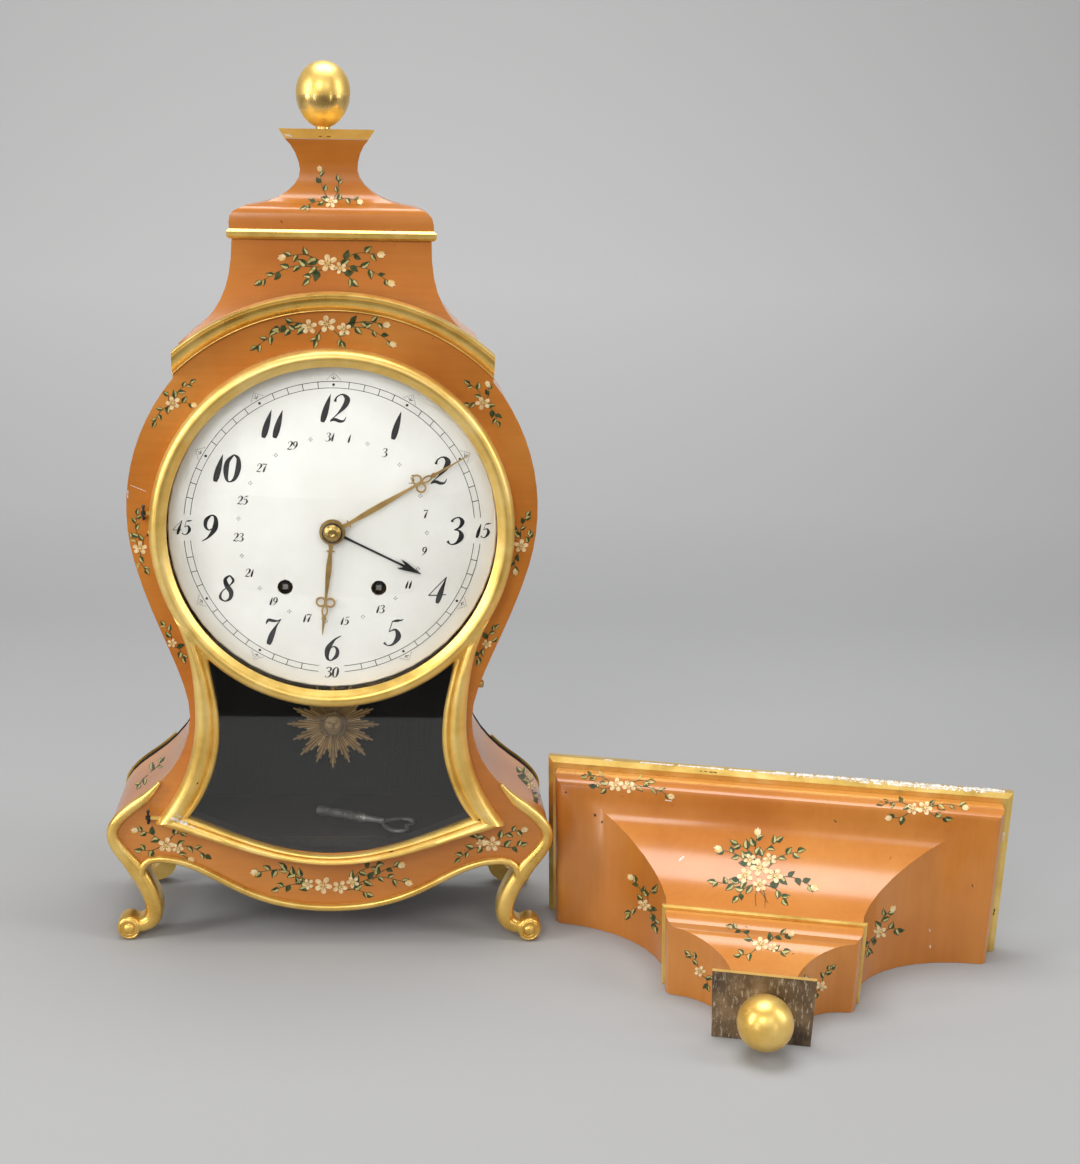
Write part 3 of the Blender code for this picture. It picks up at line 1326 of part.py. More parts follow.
def build_trains(clock, brass, steel):
    build_barrel("going", GOING, INTERMEDIATE, clock, brass, steel)
    build_barrel("strike", STRIKE, PIN_ARBOR, clock, brass, steel)

    leaves = pinion_facing(INTERMEDIATE, GOING, INTERMEDIATE_LEAVES, GREAT_MODULE)
    wheel = wheel_facing(INTERMEDIATE, CENTRE, INTERMEDIATE_TEETH, INTERMEDIATE_MODULE)
    solid = mounted(INTERMEDIATE, leaves_at(leaves, GREAT_LAYER), wheel_at(wheel, SLOW_LAYER))
    add("intermediate_wheel", solid, brass, clock, (INTERMEDIATE[0], 0, INTERMEDIATE[1]))

    arbor = circle(CENTRE, ARBOR_RADIUS, PIN)
    pivot = circle(CENTRE, PIVOT_RADIUS, PIN)
    tip = circle(CENTRE, CENTRE_TIP_RADIUS, PIN)
    wheel = wheel_facing(CENTRE, THIRD, CENTRE_TEETH, CENTRE_MODULE)
    leaves = pinion_facing(CENTRE, INTERMEDIATE, CENTRE_LEAVES, INTERMEDIATE_MODULE)
    wheel_y = layer_y(CENTRE_LAYER)
    leaves_y = layer_y(SLOW_LAYER) - PINION_EXTRA
    leaves_end = layer_y(SLOW_LAYER) + WHEEL_THICK + PINION_EXTRA
    tip_y = MINUTE_HAND_Y
    layers = [(tip, None, PLATE_SETBACK - tip_y), (arbor, None, wheel_y - PLATE_SETBACK)]
    layers.append((wheel, None, WHEEL_THICK))
    layers += [(arbor, None, leaves_y - wheel_y - WHEEL_THICK), (leaves, None, leaves_end - leaves_y)]
    layers += [(arbor, None, BACK_PLATE_Y - GAP - leaves_end), (pivot, None, PLATE_THICK)]
    add("centre_wheel", stack(tip_y, *layers), brass, clock, (0, 0, DIAL_Z))

    wheel = wheel_facing(THIRD, ESCAPE, THIRD_TEETH, THIRD_MODULE)
    leaves = pinion_facing(THIRD, CENTRE, THIRD_LEAVES, CENTRE_MODULE)
    solid = mounted(THIRD, wheel_at(wheel, THIRD_LAYER), leaves_at(leaves, CENTRE_LAYER))
    add("third_wheel", solid, brass, clock, (THIRD[0], 0, THIRD[1]))

    leaves = pinion_facing(ESCAPE, THIRD, ESCAPE_LEAVES, THIRD_MODULE)
    teeth = []
    for i in range(ESCAPE_TEETH):
        angle = 2 * pi * i / ESCAPE_TEETH
        teeth.append(polar(ESCAPE, ESCAPE_RADIUS, angle))
        teeth.append(polar(ESCAPE, ESCAPE_RADIUS * 0.8, angle + pi / ESCAPE_TEETH * 0.5))
    solid = mounted(ESCAPE, leaves_at(leaves, THIRD_LAYER), wheel_at(teeth, ESCAPE_LAYER))
    add("escape_wheel", solid, brass, clock, (ESCAPE[0], 0, ESCAPE[1]))

    leaves = pinion_facing(PIN_ARBOR, STRIKE, INTERMEDIATE_LEAVES, GREAT_MODULE)
    wheel = wheel_facing(PIN_ARBOR, FLY, PIN_TEETH, PIN_MODULE)
    solid = mounted(PIN_ARBOR, leaves_at(leaves, GREAT_LAYER), wheel_at(wheel, SLOW_LAYER))
    add("pin_wheel", solid, brass, clock, (PIN_ARBOR[0], 0, PIN_ARBOR[1]))

    leaves = pinion_facing(FLY, PIN_ARBOR, FLY_LEAVES, PIN_MODULE)
    x, z = FLY
    vane = rectangle(x - FLY_VANE_HALF, z - FLY_VANE_THICK, x + FLY_VANE_HALF, z + FLY_VANE_THICK)
    vane[1:1] = [(x, z - ARBOR_RADIUS * 1.5)]
    vane[4:4] = [(x, z + ARBOR_RADIUS * 1.5)]
    solid = mounted(FLY, (vane, VANE_LAYER, FLY_VANE_LENGTH), leaves_at(leaves, SLOW_LAYER))
    add("fly", solid, brass, clock, (x, 0, z))


def build_escapement(clock, brass, steel):
    origin = (ANCHOR[0], 0, ANCHOR[1])
    hub = circle(ANCHOR, ANCHOR_HUB_RADIUS, PIN)
    pivot = circle(ANCHOR, PIVOT_RADIUS, PIN)
    arbor = circle(ANCHOR, ARBOR_RADIUS, PIN)
    anchor_y = layer_y(ESCAPE_LAYER) - (ANCHOR_THICK - WHEEL_THICK) / 2
    front = FRONT_PLATE_BACK_Y + GAP
    crutch_y = BACK_PLATE_END_Y + CRUTCH_SETBACK
    crutch_end = crutch_y + CRUTCH_HALF * 2
    cock_y = crutch_end + GAP
    layers = [(pivot, None, PLATE_THICK), (arbor, None, anchor_y - front), (hub, None, crutch_end - anchor_y)]
    layers.append((pivot, None, COCK_WALL))
    anchor = add("pallet_anchor", stack(front - PLATE_THICK, *layers), steel, clock, origin)
    reach = ESCAPE_RADIUS + PALLET_CLEAR
    for side in (-1, 1):
        tip = polar(ESCAPE, reach, pi / 2 - side * PALLET_ANGLE)
        way = heading(ANCHOR, tip)
        across = way + pi / 2
        arm = [polar(ANCHOR, ANCHOR_ARM, across), polar(ANCHOR, -ANCHOR_ARM, across)]
        outward = polar(tip, ANCHOR_ARM * 1.6, heading(ESCAPE, tip))
        ends = sorted([tip, outward], key=lambda p: heading(ANCHOR, p))
        arm += ends
        combine(anchor, "UNION", slab(arm, anchor_y, anchor_y + ANCHOR_THICK))
    x, z = ANCHOR
    low = z - CRUTCH_LENGTH
    bar = box(x - CRUTCH_HALF, x + CRUTCH_HALF, crutch_y, crutch_end, low, z)
    prong = ROD_RADIUS + GAP
    prong_end = PENDULUM_Y + ROD_RADIUS * 2
    fork = [(x - prong - CRUTCH_PRONG, crutch_y), (x + prong + CRUTCH_PRONG, crutch_y)]
    fork += [(x + prong + CRUTCH_PRONG, prong_end), (x + prong, prong_end), (x + prong, crutch_end)]
    fork += [(x - prong, crutch_end), (x - prong, prong_end), (x - prong - CRUTCH_PRONG, prong_end)]
    rings = [[(px, py, pz) for px, py in fork] for pz in (low - CRUTCH_HALF, low + CRUTCH_HALF)]
    combine(anchor, "UNION", bar, loft(rings))

    wall = COCK_WALL
    top = z + COCK_HALF
    outer_x = COCK_HALF
    foot_y = BACK_PLATE_END_Y + GAP
    face_y = cock_y
    rim = rectangle(-outer_x, z - COCK_DROP, outer_x, top)
    bearing = circle(ANCHOR, PIVOT_RADIUS + GAP, PIN)
    cock = add("back_cock", slab(rim, face_y, face_y + wall, bearing), brass, clock)
    for side in (-1, 1):
        middle = side * (outer_x - wall / 2)
        leg = box(middle - wall / 2, middle + wall / 2, foot_y, face_y + wall / 2, z - COCK_DROP, top)
        combine(cock, "UNION", leg)
    arm_z = z + SPRING_LENGTH / 2
    arm = box(-wall, wall, face_y + wall / 2, PENDULUM_Y + wall, arm_z, arm_z + wall)
    combine(cock, "UNION", arm)


def build_pendulum(clock, brass, gilt):
    x, z = ANCHOR
    y = PENDULUM_Y
    origin = (x, y, z)
    top = z + SPRING_LENGTH / 2 - GAP
    spring = box(x - SPRING_HALF, x + SPRING_HALF, y - SPRING_THICK, y + SPRING_THICK, z - SPRING_LENGTH, top)
    rod_piece = add("pendulum_rod", spring, brass, clock, origin)
    bob_back = y - BOB_THICK / 2
    bar = rod((x, y, z - SPRING_LENGTH / 2), (x, y, BOB_Z + BOB_RAY_DIP + GAP), ROD_RADIUS)
    combine(rod_piece, "UNION", bar)

    centre = (x, BOB_Z)
    rays = []
    for i in range(BOB_RAYS):
        angle = pi / 2 + 2 * pi * (i + 0.5) / BOB_RAYS
        length = BOB_RADIUS if i % 2 else BOB_RADIUS * 0.92
        rays.append(polar(centre, length, angle))
        rays.append(polar(centre, BOB_RAY_DIP, angle + pi / BOB_RAYS))
    notch = ROD_RADIUS * 1.5
    rays[-1:] = [(x + notch, BOB_Z + BOB_RAY_DIP), (x - notch, BOB_Z + BOB_RAY_DIP)]
    face = circle(centre, BOB_FACE_RADIUS, SMALL)
    bob = stack(bob_back - BOB_FACE_PROUD, (face, None, BOB_FACE_PROUD), (rays, None, BOB_THICK))
    add("pendulum_bob", bob, gilt, clock, origin)


def build_strike(clock, brass, steel):
    foot_z = PLATE_TOP_Z + GAP
    seat_z = BELL_RIM_Z + BELL_HEIGHT - BELL_WALL - GAP
    profile = [(0, foot_z), (BELL_POST_FOOT_RADIUS, foot_z), (BELL_POST_FOOT_RADIUS, foot_z + BELL_POST_FOOT)]
    profile += [(BELL_POST_RADIUS, foot_z + BELL_POST_FOOT), (BELL_POST_RADIUS, seat_z)]
    stud_z = seat_z + 3 * BELL_WALL
    profile += [(BELL_STUD_RADIUS, seat_z), (BELL_STUD_RADIUS, stud_z), (0, stud_z)]
    add("bell_stand", turned(profile, PIN, upright(0, BELL_Y)), steel, clock)

    hole = BELL_STUD_RADIUS + GAP
    skins = []
    for wall in (BELL_WALL, 0):
        quarter = arc((0, 0), 1, 0, pi / 2, 5)
        half = BELL_RADIUS - wall - hole
        skins.append([(hole + half * x, BELL_RIM_Z + (BELL_HEIGHT - wall) * z) for x, z in quarter])
    add("bell", turned(skins[0] + skins[1][::-1], 20, upright(0, BELL_Y), closed=True), brass, clock)

    x, z = HAMMER
    hub = circle(HAMMER, ARBOR_RADIUS * 2, PIN)
    hammer = add("hammer", mounted(HAMMER, (hub, HAMMER_LAYER, HAMMER_THICK)), steel, clock, (x, 0, z))
    head_x = BELL_RADIUS + HAMMER_HEAD_GAP + HAMMER_HEAD_HALF
    head_z = BELL_RIM_Z + HAMMER_HEAD_HALF
    y0 = layer_y(HAMMER_LAYER)
    way = heading(HAMMER, (head_x, head_z))
    across = way + pi / 2
    arm = [polar(HAMMER, -HAMMER_ARM, across), polar((head_x, head_z), -HAMMER_ARM, across)]
    arm += [polar((head_x, head_z), HAMMER_ARM, across), polar(HAMMER, HAMMER_ARM, across)]
    half = HAMMER_HEAD_HALF
    block = rectangle(head_x - half, head_z - half, head_x + half, head_z + half)
    head = slab(block, y0 - half / 2, y0 + HAMMER_THICK + half / 2)
    combine(hammer, "UNION", slab(arm, y0, y0 + HAMMER_THICK), head)


# Winding key

def build_key(clock, dark_steel):
    """Key along +X in its own frame: a socketed shank and a heart-shaped bow, lying on the case floor."""
    rest_z = FLOOR_TOP_Z + GAP + KEY_SHANK_RADIUS
    place = Matrix.Translation((KEY_X, KEY_Y, rest_z)) @ Matrix.Rotation(KEY_TURN, 4, "Z")
    half = KEY_SHANK_LENGTH / 2
    shank = moved(rod((-half, 0, 0), (half, 0, 0), KEY_SHANK_RADIUS, SMALL), place)
    key = add("winding_key", shank, dark_steel, clock, (KEY_X, KEY_Y, rest_z))
    root = half - KEY_BOW_WIRE
    reach = KEY_BOW_LENGTH
    wide = KEY_BOW_HALF
    lobe = (root + reach, wide * 0.75)
    edge = bezier((root, 0), (root + reach * 0.3, wide * 0.9), (root + reach * 0.6, wide * 1.35), lobe, 8)
    inner = (root + reach * 0.78, 0)
    edge += bezier(lobe, (root + reach * 1.12, wide * 0.4), (root + reach, 0), inner, 5)[1:]
    outline = mirrored([(py, px) for px, py in edge])
    outline = [(px, py) for py, px in outline]
    middle = root + reach * 0.55
    shrink = 1 - KEY_BOW_WIRE / wide * 1.1
    hole = [(middle + (px - middle) * shrink, py * shrink) for px, py in outline]
    bow = slab(outline, -KEY_BOW_WIRE / 2, KEY_BOW_WIRE / 2, hole)
    flat = Matrix.Rotation(pi / 2, 4, "X")
    combine(key, "UNION", moved(bow, place @ flat))
    socket = box(-half - KEY_SHANK_RADIUS, -half + KEY_SOCKET_DEPTH, -KEY_SOCKET_HALF, KEY_SOCKET_HALF,
                 -KEY_SOCKET_HALF, KEY_SOCKET_HALF)
    combine(key, "DIFFERENCE", moved(socket, place))


# Wall bracket: x across, y up the wall, z out from the wall, with the shelf's top at y = 0

def bracket_ring(half, depth, along, x=0):
    """Cross-section of the bracket, a little narrower at the wall than at its front."""
    wall_half = half - BRACKET_TAPER * depth / SHELF_DEPTH
    wall = [(x - wall_half, -along, 0), (x + wall_half, -along, 0)]
    return wall + [(x + half, -along, depth), (x - half, -along, depth)]


def bracket_tier(start, length, straight, half, depth, x, end_half, end_depth, end_x):
    """Body that rounds over below a straight edge and then sweeps in to its lower end."""
    end = start + length
    turn_at = start + straight
    rings = [bracket_ring(half, depth, start, x)]
    for out, along in arc((0, 0), 1, 0, pi / 2, 3):
        inset = TIER_ROUND_IN * (1 - out)
        rings.append(bracket_ring(half - inset, depth - inset, turn_at + TIER_ROUND * along, x))
    half -= TIER_ROUND_IN
    depth -= TIER_ROUND_IN
    fall = length - straight - TIER_ROUND
    for across, up in arc((0, 0), 1, pi / 2, 0, 9)[1:]:
        ring_half = half - (half - end_half) * across
        ring_depth = depth - (depth - end_depth) * across ** 1.3
        rings.append(bracket_ring(ring_half, ring_depth, end - fall * up, x + (end_x - x) * across))
    return loft(rings)


def build_bracket(bracket, lacquer, gilt, worn_wood):
    soft = SHELF_ROUND
    rings = [bracket_ring(SHELF_HALF - soft, SHELF_DEPTH - soft, 0)]
    for along in (soft, SHELF_THICK - SHELF_COVE * 0.7):
        rings.append(bracket_ring(SHELF_HALF, SHELF_DEPTH, along))
    rings += [bracket_ring(SHELF_HALF - SHELF_COVE, SHELF_DEPTH - SHELF_COVE, SHELF_THICK)]
    add("bracket_shelf", loft(rings), gilt, bracket)

    start = SHELF_THICK + GAP
    inset = TIER_INSET
    end_half = EDGE_HALF - EDGE_PROUD
    end_depth = EDGE_DEPTH - EDGE_PROUD
    upper = bracket_tier(start, UPPER_LENGTH, UPPER_STRAIGHT, SHELF_HALF - inset, SHELF_DEPTH - inset, 0,
                         end_half, end_depth, LOWER_X)
    add("bracket_upper_body", upper, lacquer, bracket)

    start += UPPER_LENGTH + GAP
    soft = EDGE_THICK * 0.3
    steps = [(soft, 0), (0, soft), (0, EDGE_THICK - soft), (soft, EDGE_THICK)]
    rings = []
    for inset, along in steps:
        rings.append(bracket_ring(EDGE_HALF - inset, EDGE_DEPTH - inset, start + along, LOWER_X))
    add("bracket_lower_edge", loft(rings), gilt, bracket)

    start += EDGE_THICK + GAP
    lower = bracket_tier(start, LOWER_LENGTH, LOWER_STRAIGHT, end_half, end_depth, LOWER_X,
                         LOWER_END_HALF, LOWER_END_DEPTH, BASE_X)
    add("bracket_lower_body", lower, lacquer, bracket)

    start += LOWER_LENGTH + GAP
    rings = [bracket_ring(BASE_HALF, BASE_DEPTH, along, BASE_X) for along in (start, start + BASE_THICK)]
    add("bracket_base_plate", loft(rings), worn_wood, bracket)

    start += BASE_THICK + GAP
    middle = start + BALL_NECK + BALL_RADIUS
    neck_turn = asin(BALL_NECK_RADIUS / BALL_RADIUS)
    profile = [(0, -start), (BALL_NECK_RADIUS, -start)]
    steps = 10
    for i in range(steps):
        turn = neck_turn + (pi - neck_turn) * i / steps
        profile.append((BALL_RADIUS * sin(turn), -middle + BALL_RADIUS * cos(turn)))
    profile.append((0, -middle - BALL_RADIUS))
    add("bracket_ball", turned(profile, 20, facing((0, BASE_DEPTH / 2))), gilt, bracket)


def centre_on_floor(root):
    """Move the set so that the origin is at the middle of its box, on the floor."""
    bpy.context.view_layer.update()
    corners = []
    for thing in bpy.data.objects:
        if thing.type == "MESH" and not thing.hide_render:
            corners += [thing.matrix_world @ v.co for v in thing.data.vertices]
    low = [min(c[i] for c in corners) for i in range(3)]
    high = [max(c[i] for c in corners) for i in range(3)]
    root.location = (-(low[0] + high[0]) / 2, -(low[1] + high[1]) / 2, 0)


def main():
    clear_scene()
    lacquer = material("lacquer", (0.48, 0.19, 0.06), 0.35)
    gilt = material("gilt", (0.60, 0.36, 0.08), 0.35, 1.0)
    bare_wood = material("bare_wood", (0.06, 0.04, 0.03), 0.7)
    worn_wood = material("worn_wood", (0.20, 0.13, 0.06), 0.6)
    enamel = material("enamel", (0.90, 0.89, 0.86), 0.12)
    glass = material("glass", (0.90, 0.92, 0.92), 0.03)
    brass = material("brass", (0.55, 0.38, 0.12), 0.3, 1.0)
    steel = material("steel", (0.45, 0.45, 0.46), 0.3, 1.0)
    dark_steel = material("dark_steel", (0.03, 0.03, 0.035), 0.35, 1.0)

    root = empty("clock_set")
    clock = empty("clock", root)
    bracket = empty("bracket", root, (BRACKET_X, BRACKET_Y, 0), BRACKET_TURN)
    build_case(clock, lacquer, gilt, bare_wood)
    build_hood(clock, lacquer, gilt)
    build_legs(clock, gilt)
    build_door(clock, gilt, glass, brass)
    build_release(clock, brass)
    build_dial(clock, enamel, brass, dark_steel)
    build_motion_work(clock, brass)
    build_plates(clock, brass)
    build_trains(clock, brass, steel)
    build_escapement(clock, brass, steel)
    build_pendulum(clock, brass, gilt)
    build_strike(clock, brass, steel)
    build_key(clock, dark_steel)
    build_bracket(bracket, lacquer, gilt, worn_wood)
    centre_on_floor(root)


main()
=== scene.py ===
"""Looks of the bracket clock and its wall bracket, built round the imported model.

Metres, +Z up. Clock coordinates are measured from the clock's axis (x), the front panel's face (y)
and the floor (z). Painted sprays are laid out as seen by the camera and laid on the surfaces behind.
"""
import random
from math import asin, atan2, cos, exp, hypot, pi, radians, sin, sqrt

import bmesh
import bpy
from mathutils import Matrix, Vector
from mathutils.bvhtree import BVHTree


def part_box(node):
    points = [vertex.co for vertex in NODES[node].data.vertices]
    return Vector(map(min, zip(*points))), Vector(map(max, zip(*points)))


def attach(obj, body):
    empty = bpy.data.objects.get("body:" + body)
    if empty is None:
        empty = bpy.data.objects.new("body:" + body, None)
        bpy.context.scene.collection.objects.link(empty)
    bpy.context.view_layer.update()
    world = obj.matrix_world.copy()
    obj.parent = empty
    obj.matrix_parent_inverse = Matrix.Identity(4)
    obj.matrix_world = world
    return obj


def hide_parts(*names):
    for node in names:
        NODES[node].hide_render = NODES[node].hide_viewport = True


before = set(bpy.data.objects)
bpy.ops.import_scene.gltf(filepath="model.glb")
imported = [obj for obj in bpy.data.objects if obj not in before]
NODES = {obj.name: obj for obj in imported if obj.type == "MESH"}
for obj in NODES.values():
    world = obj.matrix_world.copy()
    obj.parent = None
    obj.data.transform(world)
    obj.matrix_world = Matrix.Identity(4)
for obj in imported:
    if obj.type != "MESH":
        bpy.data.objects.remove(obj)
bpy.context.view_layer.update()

panel_low, panel_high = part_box("front_panel")
CLOCK = Vector(((panel_low[0] + panel_high[0]) / 2, panel_low[1], 0))

# Photograph frame and the camera that it was taken with, in clock coordinates
PHOTO_WIDTH = 1080
PHOTO_HEIGHT = 1164
CAMERA_AT = (0.0257, -1.2938, 0.5996)
CAMERA_PITCH = radians(11.82)
CAMERA_YAW = radians(1.84)
CAMERA_ROLL = radians(0.99)
FOCAL_PIXELS = 1795
AXIS_X = 424
AXIS_Y = 522

# Sizes shared with the solids
DIAL_Z = 0.3225
DIAL_RADIUS = 0.1215
DIAL_SETBACK = 0.003
DIAL_RISE = 0.009
HOUR_BOSS = 0.0095
MINUTE_Y = -0.0127
HOUR_Y = -0.0100
DATE_Y = -0.0073
MINUTE_READING = radians(60)
HOUR_READING = radians(185)
DATE_READING = radians(116)
BRACKET_AT = (0.3455, 0.0264)
BRACKET_TURN = radians(-12.8)


def clock(x, y, z):
    return Vector((CLOCK.x + x, CLOCK.y + y, z))


# Curves

def weighted(weights, points):
    """Sum of points, each times its weight."""
    return tuple(sum(w * p[k] for w, p in zip(weights, points)) for k in range(len(points[0])))


def bezier(first, handle, handle_end, last, steps):
    points = []
    for i in range(steps + 1):
        t = i / steps
        s = 1 - t
        weights = (s ** 3, 3 * s * s * t, 3 * s * t * t, t ** 3)
        points.append(weighted(weights, (first, handle, handle_end, last)))
    return points


def polar(centre, radius, angle):
    return (centre[0] + radius * cos(angle), centre[1] + radius * sin(angle))


def smooth_path(points, steps):
    """Curve through points of any number of values."""
    path = []
    last = len(points) - 1
    for i in range(last):
        group = [points[max(i - 1, 0)], points[i], points[i + 1], points[min(i + 2, last)]]
        for j in range(steps):
            t = j / steps
            weights = (-t ** 3 / 2 + t * t - t / 2, 1.5 * t ** 3 - 2.5 * t * t + 1,
                       -1.5 * t ** 3 + 2 * t * t + t / 2, t ** 3 / 2 - t * t / 2)
            path.append(weighted(weights, group))
    path.append(tuple(points[-1]))
    return path


def even(points, count):
    """Points spread evenly along a path."""
    runs = [0.0]
    for a, b in zip(points, points[1:]):
        runs.append(runs[-1] + hypot(b[0] - a[0], b[1] - a[1]))
    spread = []
    j = 0
    for i in range(count + 1):
        want = runs[-1] * i / count
        while j < len(points) - 2 and runs[j + 1] < want:
            j += 1
        t = (want - runs[j]) / max(runs[j + 1] - runs[j], 1e-12)
        spread.append(tuple(a + (b - a) * t for a, b in zip(points[j], points[j + 1])))
    return spread


def mirrored(half):
    """Whole path from its right half, which starts on the middle line."""
    return [(-x, z) for x, z in reversed(half[1:])] + half


# Materials

def new_material(name):
    material = bpy.data.materials.new(name)
    material.use_nodes = True
    tree = material.node_tree
    return material, tree, tree.nodes["Principled BSDF"]


def place_nodes(tree, scale=(1, 1, 1)):
    """Object coordinates with a scale for each direction."""
    where = tree.nodes.new("ShaderNodeTexCoord")
    mapping = tree.nodes.new("ShaderNodeMapping")
    mapping.inputs["Scale"].default_value = scale
    tree.links.new(where.outputs["Object"], mapping.inputs["Vector"])
    return mapping.outputs["Vector"]


def noise(tree, vector, scale, detail=3.0, rough=0.55):
    texture = tree.nodes.new("ShaderNodeTexNoise")
    texture.inputs["Scale"].default_value = scale
    texture.inputs["Detail"].default_value = detail
    texture.inputs["Roughness"].default_value = rough
    tree.links.new(vector, texture.inputs["Vector"])
    return texture.outputs["Fac"]


def ramp(tree, value, stops):
    band = tree.nodes.new("ShaderNodeValToRGB")
    elements = band.color_ramp.elements
    while len(elements) < len(stops):
        elements.new(0.5)
    for element, (position, colour) in zip(elements, stops):
        element.position = position
        element.color = (*colour, 1)
    tree.links.new(value, band.inputs["Fac"])
    return band.outputs["Color"]


def remap(tree, value, start, end, low=0.0, high=1.0):
    """Number between low and high as a value goes from start to end."""
    change = tree.nodes.new("ShaderNodeMapRange")
    limits = {"From Min": start, "From Max": end, "To Min": low, "To Max": high}
    for socket, limit in limits.items():
        change.inputs[socket].default_value = limit
    tree.links.new(value, change.inputs["Value"])
    return change.outputs["Result"]


def spread(tree, value, low, high):
    """Number between low and high from a noise value, which seldom leaves its middle."""
    return remap(tree, value, 0.3, 0.7, low, high)


def along(tree, source, axis):
    """One direction of a place or of a surface's normal."""
    where = tree.nodes.new("ShaderNodeTexCoord")
    parts = tree.nodes.new("ShaderNodeSeparateXYZ")
    tree.links.new(where.outputs[source], parts.inputs["Vector"])
    return parts.outputs[axis]


def blend(tree, mode, amount, first, second):
    """Colour mix; amount and second may be sockets or plain values."""
    mix = tree.nodes.new("ShaderNodeMix")
    mix.data_type = "RGBA"
    mix.blend_type = mode
    factor, first_in, second_in = mix.inputs[0], mix.inputs[6], mix.inputs[7]
    for value, socket in ((amount, factor), (first, first_in), (second, second_in)):
        if isinstance(value, bpy.types.NodeSocket):
            tree.links.new(value, socket)
        elif isinstance(value, tuple):
            socket.default_value = (*value, 1)
        else:
            socket.default_value = value
    return mix.outputs[2]


def bump(tree, shader, value, strength, distance):
    node = tree.nodes.new("ShaderNodeBump")
    node.inputs["Strength"].default_value = strength
    node.inputs["Distance"].default_value = distance
    tree.links.new(value, node.inputs["Height"])
    tree.links.new(node.outputs["Normal"], shader.inputs["Normal"])


def lacquer(name, dark, middle, pale, streak):
    """Old varnished paint: soft clouds of colour, brush streaks and a few dark specks."""
    material, tree, shader = new_material(name)
    cloud = noise(tree, place_nodes(tree), 9.0, 4.0)
    brushed = noise(tree, place_nodes(tree, streak), 3.0, 5.0, 0.65)
    colour = ramp(tree, cloud, [(0.32, dark), (0.52, middle), (0.74, pale)])
    lines = ramp(tree, brushed, [(0.33, (0.86, 0.82, 0.76)), (0.64, (1.0, 1.0, 1.0))])
    colour = blend(tree, "MULTIPLY", 0.45, colour, lines)
    speck = noise(tree, place_nodes(tree), 190.0, 2.0)
    spots = ramp(tree, speck, [(0.765, (0, 0, 0)), (0.79, (1, 1, 1))])
    colour = blend(tree, "MIX", spots, colour, (0.05, 0.02, 0.008))
    tree.links.new(colour, shader.inputs["Base Color"])
    tree.links.new(spread(tree, brushed, 0.36, 0.50), shader.inputs["Roughness"])
    shader.inputs["Specular IOR Level"].default_value = 0.1
    shader.inputs["Coat Weight"].default_value = 1.0
    shader.inputs["Coat Roughness"].default_value = 0.20
    bump(tree, shader, brushed, 0.07, 0.0005)
    return material


def gilt(name, deep, middle, pale, rough, worn, worn_colour, worn_scale=22.0, stretch=(1, 1, 1)):
    """Burnished leaf over gesso: warm mottling, rubbed places and an uneven ground."""
    material, tree, shader = new_material(name)
    flat = place_nodes(tree)
    mottle = noise(tree, flat, 34.0, 5.0, 0.6)
    colour = ramp(tree, mottle, [(0.30, deep), (0.50, middle), (0.72, pale)])
    rub = noise(tree, place_nodes(tree, stretch), worn_scale, 6.0, 0.7)
    bare = ramp(tree, rub, [(worn, (0, 0, 0)), (worn + 0.035, (1, 1, 1))])
    colour = blend(tree, "MIX", bare, colour, worn_colour)
    tree.links.new(colour, shader.inputs["Base Color"])
    metal = ramp(tree, rub, [(worn, (0.78, 0.78, 0.78)), (worn + 0.035, (0, 0, 0))])
    tree.links.new(metal, shader.inputs["Metallic"])
    tree.links.new(spread(tree, mottle, rough - 0.06, rough + 0.12), shader.inputs["Roughness"])
    ground = noise(tree, flat, 120.0, 3.0)
    shader.inputs["Coat Weight"].default_value = 0.35
    shader.inputs["Coat Roughness"].default_value = 0.16
    bump(tree, shader, ground, 0.16, 0.0008)
    return material


def rubbed(name):
    """Plate that has lost its gilding: brown ground and pale scratches along its height; its upward faces
    take bright gilt, partly gilding left there and partly painted highlight of the light from above.
    """
    material, tree, shader = new_material(name)
    flat = place_nodes(tree)
    ground = noise(tree, flat, 42.0, 5.0, 0.6)
    colour = ramp(tree, ground, [(0.34, (0.055, 0.030, 0.014)), (0.52, (0.14, 0.085, 0.040)),
                                         (0.68, (0.27, 0.175, 0.085))])
    scratch = noise(tree, place_nodes(tree, (5.0, 1.0, 1.3)), 95.0, 4.0, 0.75)
    lines = ramp(tree, scratch, [(0.555, (0, 0, 0)), (0.60, (1, 1, 1))])
    patches = noise(tree, flat, 30.0, 2.0)
    where = ramp(tree, patches, [(0.40, (0.1, 0.1, 0.1)), (0.56, (0.8, 0.8, 0.8))])
    lines = blend(tree, "MULTIPLY", 1.0, lines, where)
    colour = blend(tree, "MIX", lines, colour, (0.50, 0.43, 0.32))
    # Painted highlight on leftover gilt: faces that point up take bright metallic gilt, as where the top
    # light falls
    above = ramp(tree, along(tree, "Normal", "Z"), [(0.5, (0, 0, 0)), (0.7, (1, 1, 1))])
    colour = blend(tree, "MIX", above, colour, (0.85, 0.60, 0.20))
    tree.links.new(colour, shader.inputs["Base Color"])
    tree.links.new(above, shader.inputs["Metallic"])
    tree.links.new(spread(tree, ground, 0.42, 0.6), shader.inputs["Roughness"])
    bump(tree, shader, scratch, 0.3, 0.0005)
    return material


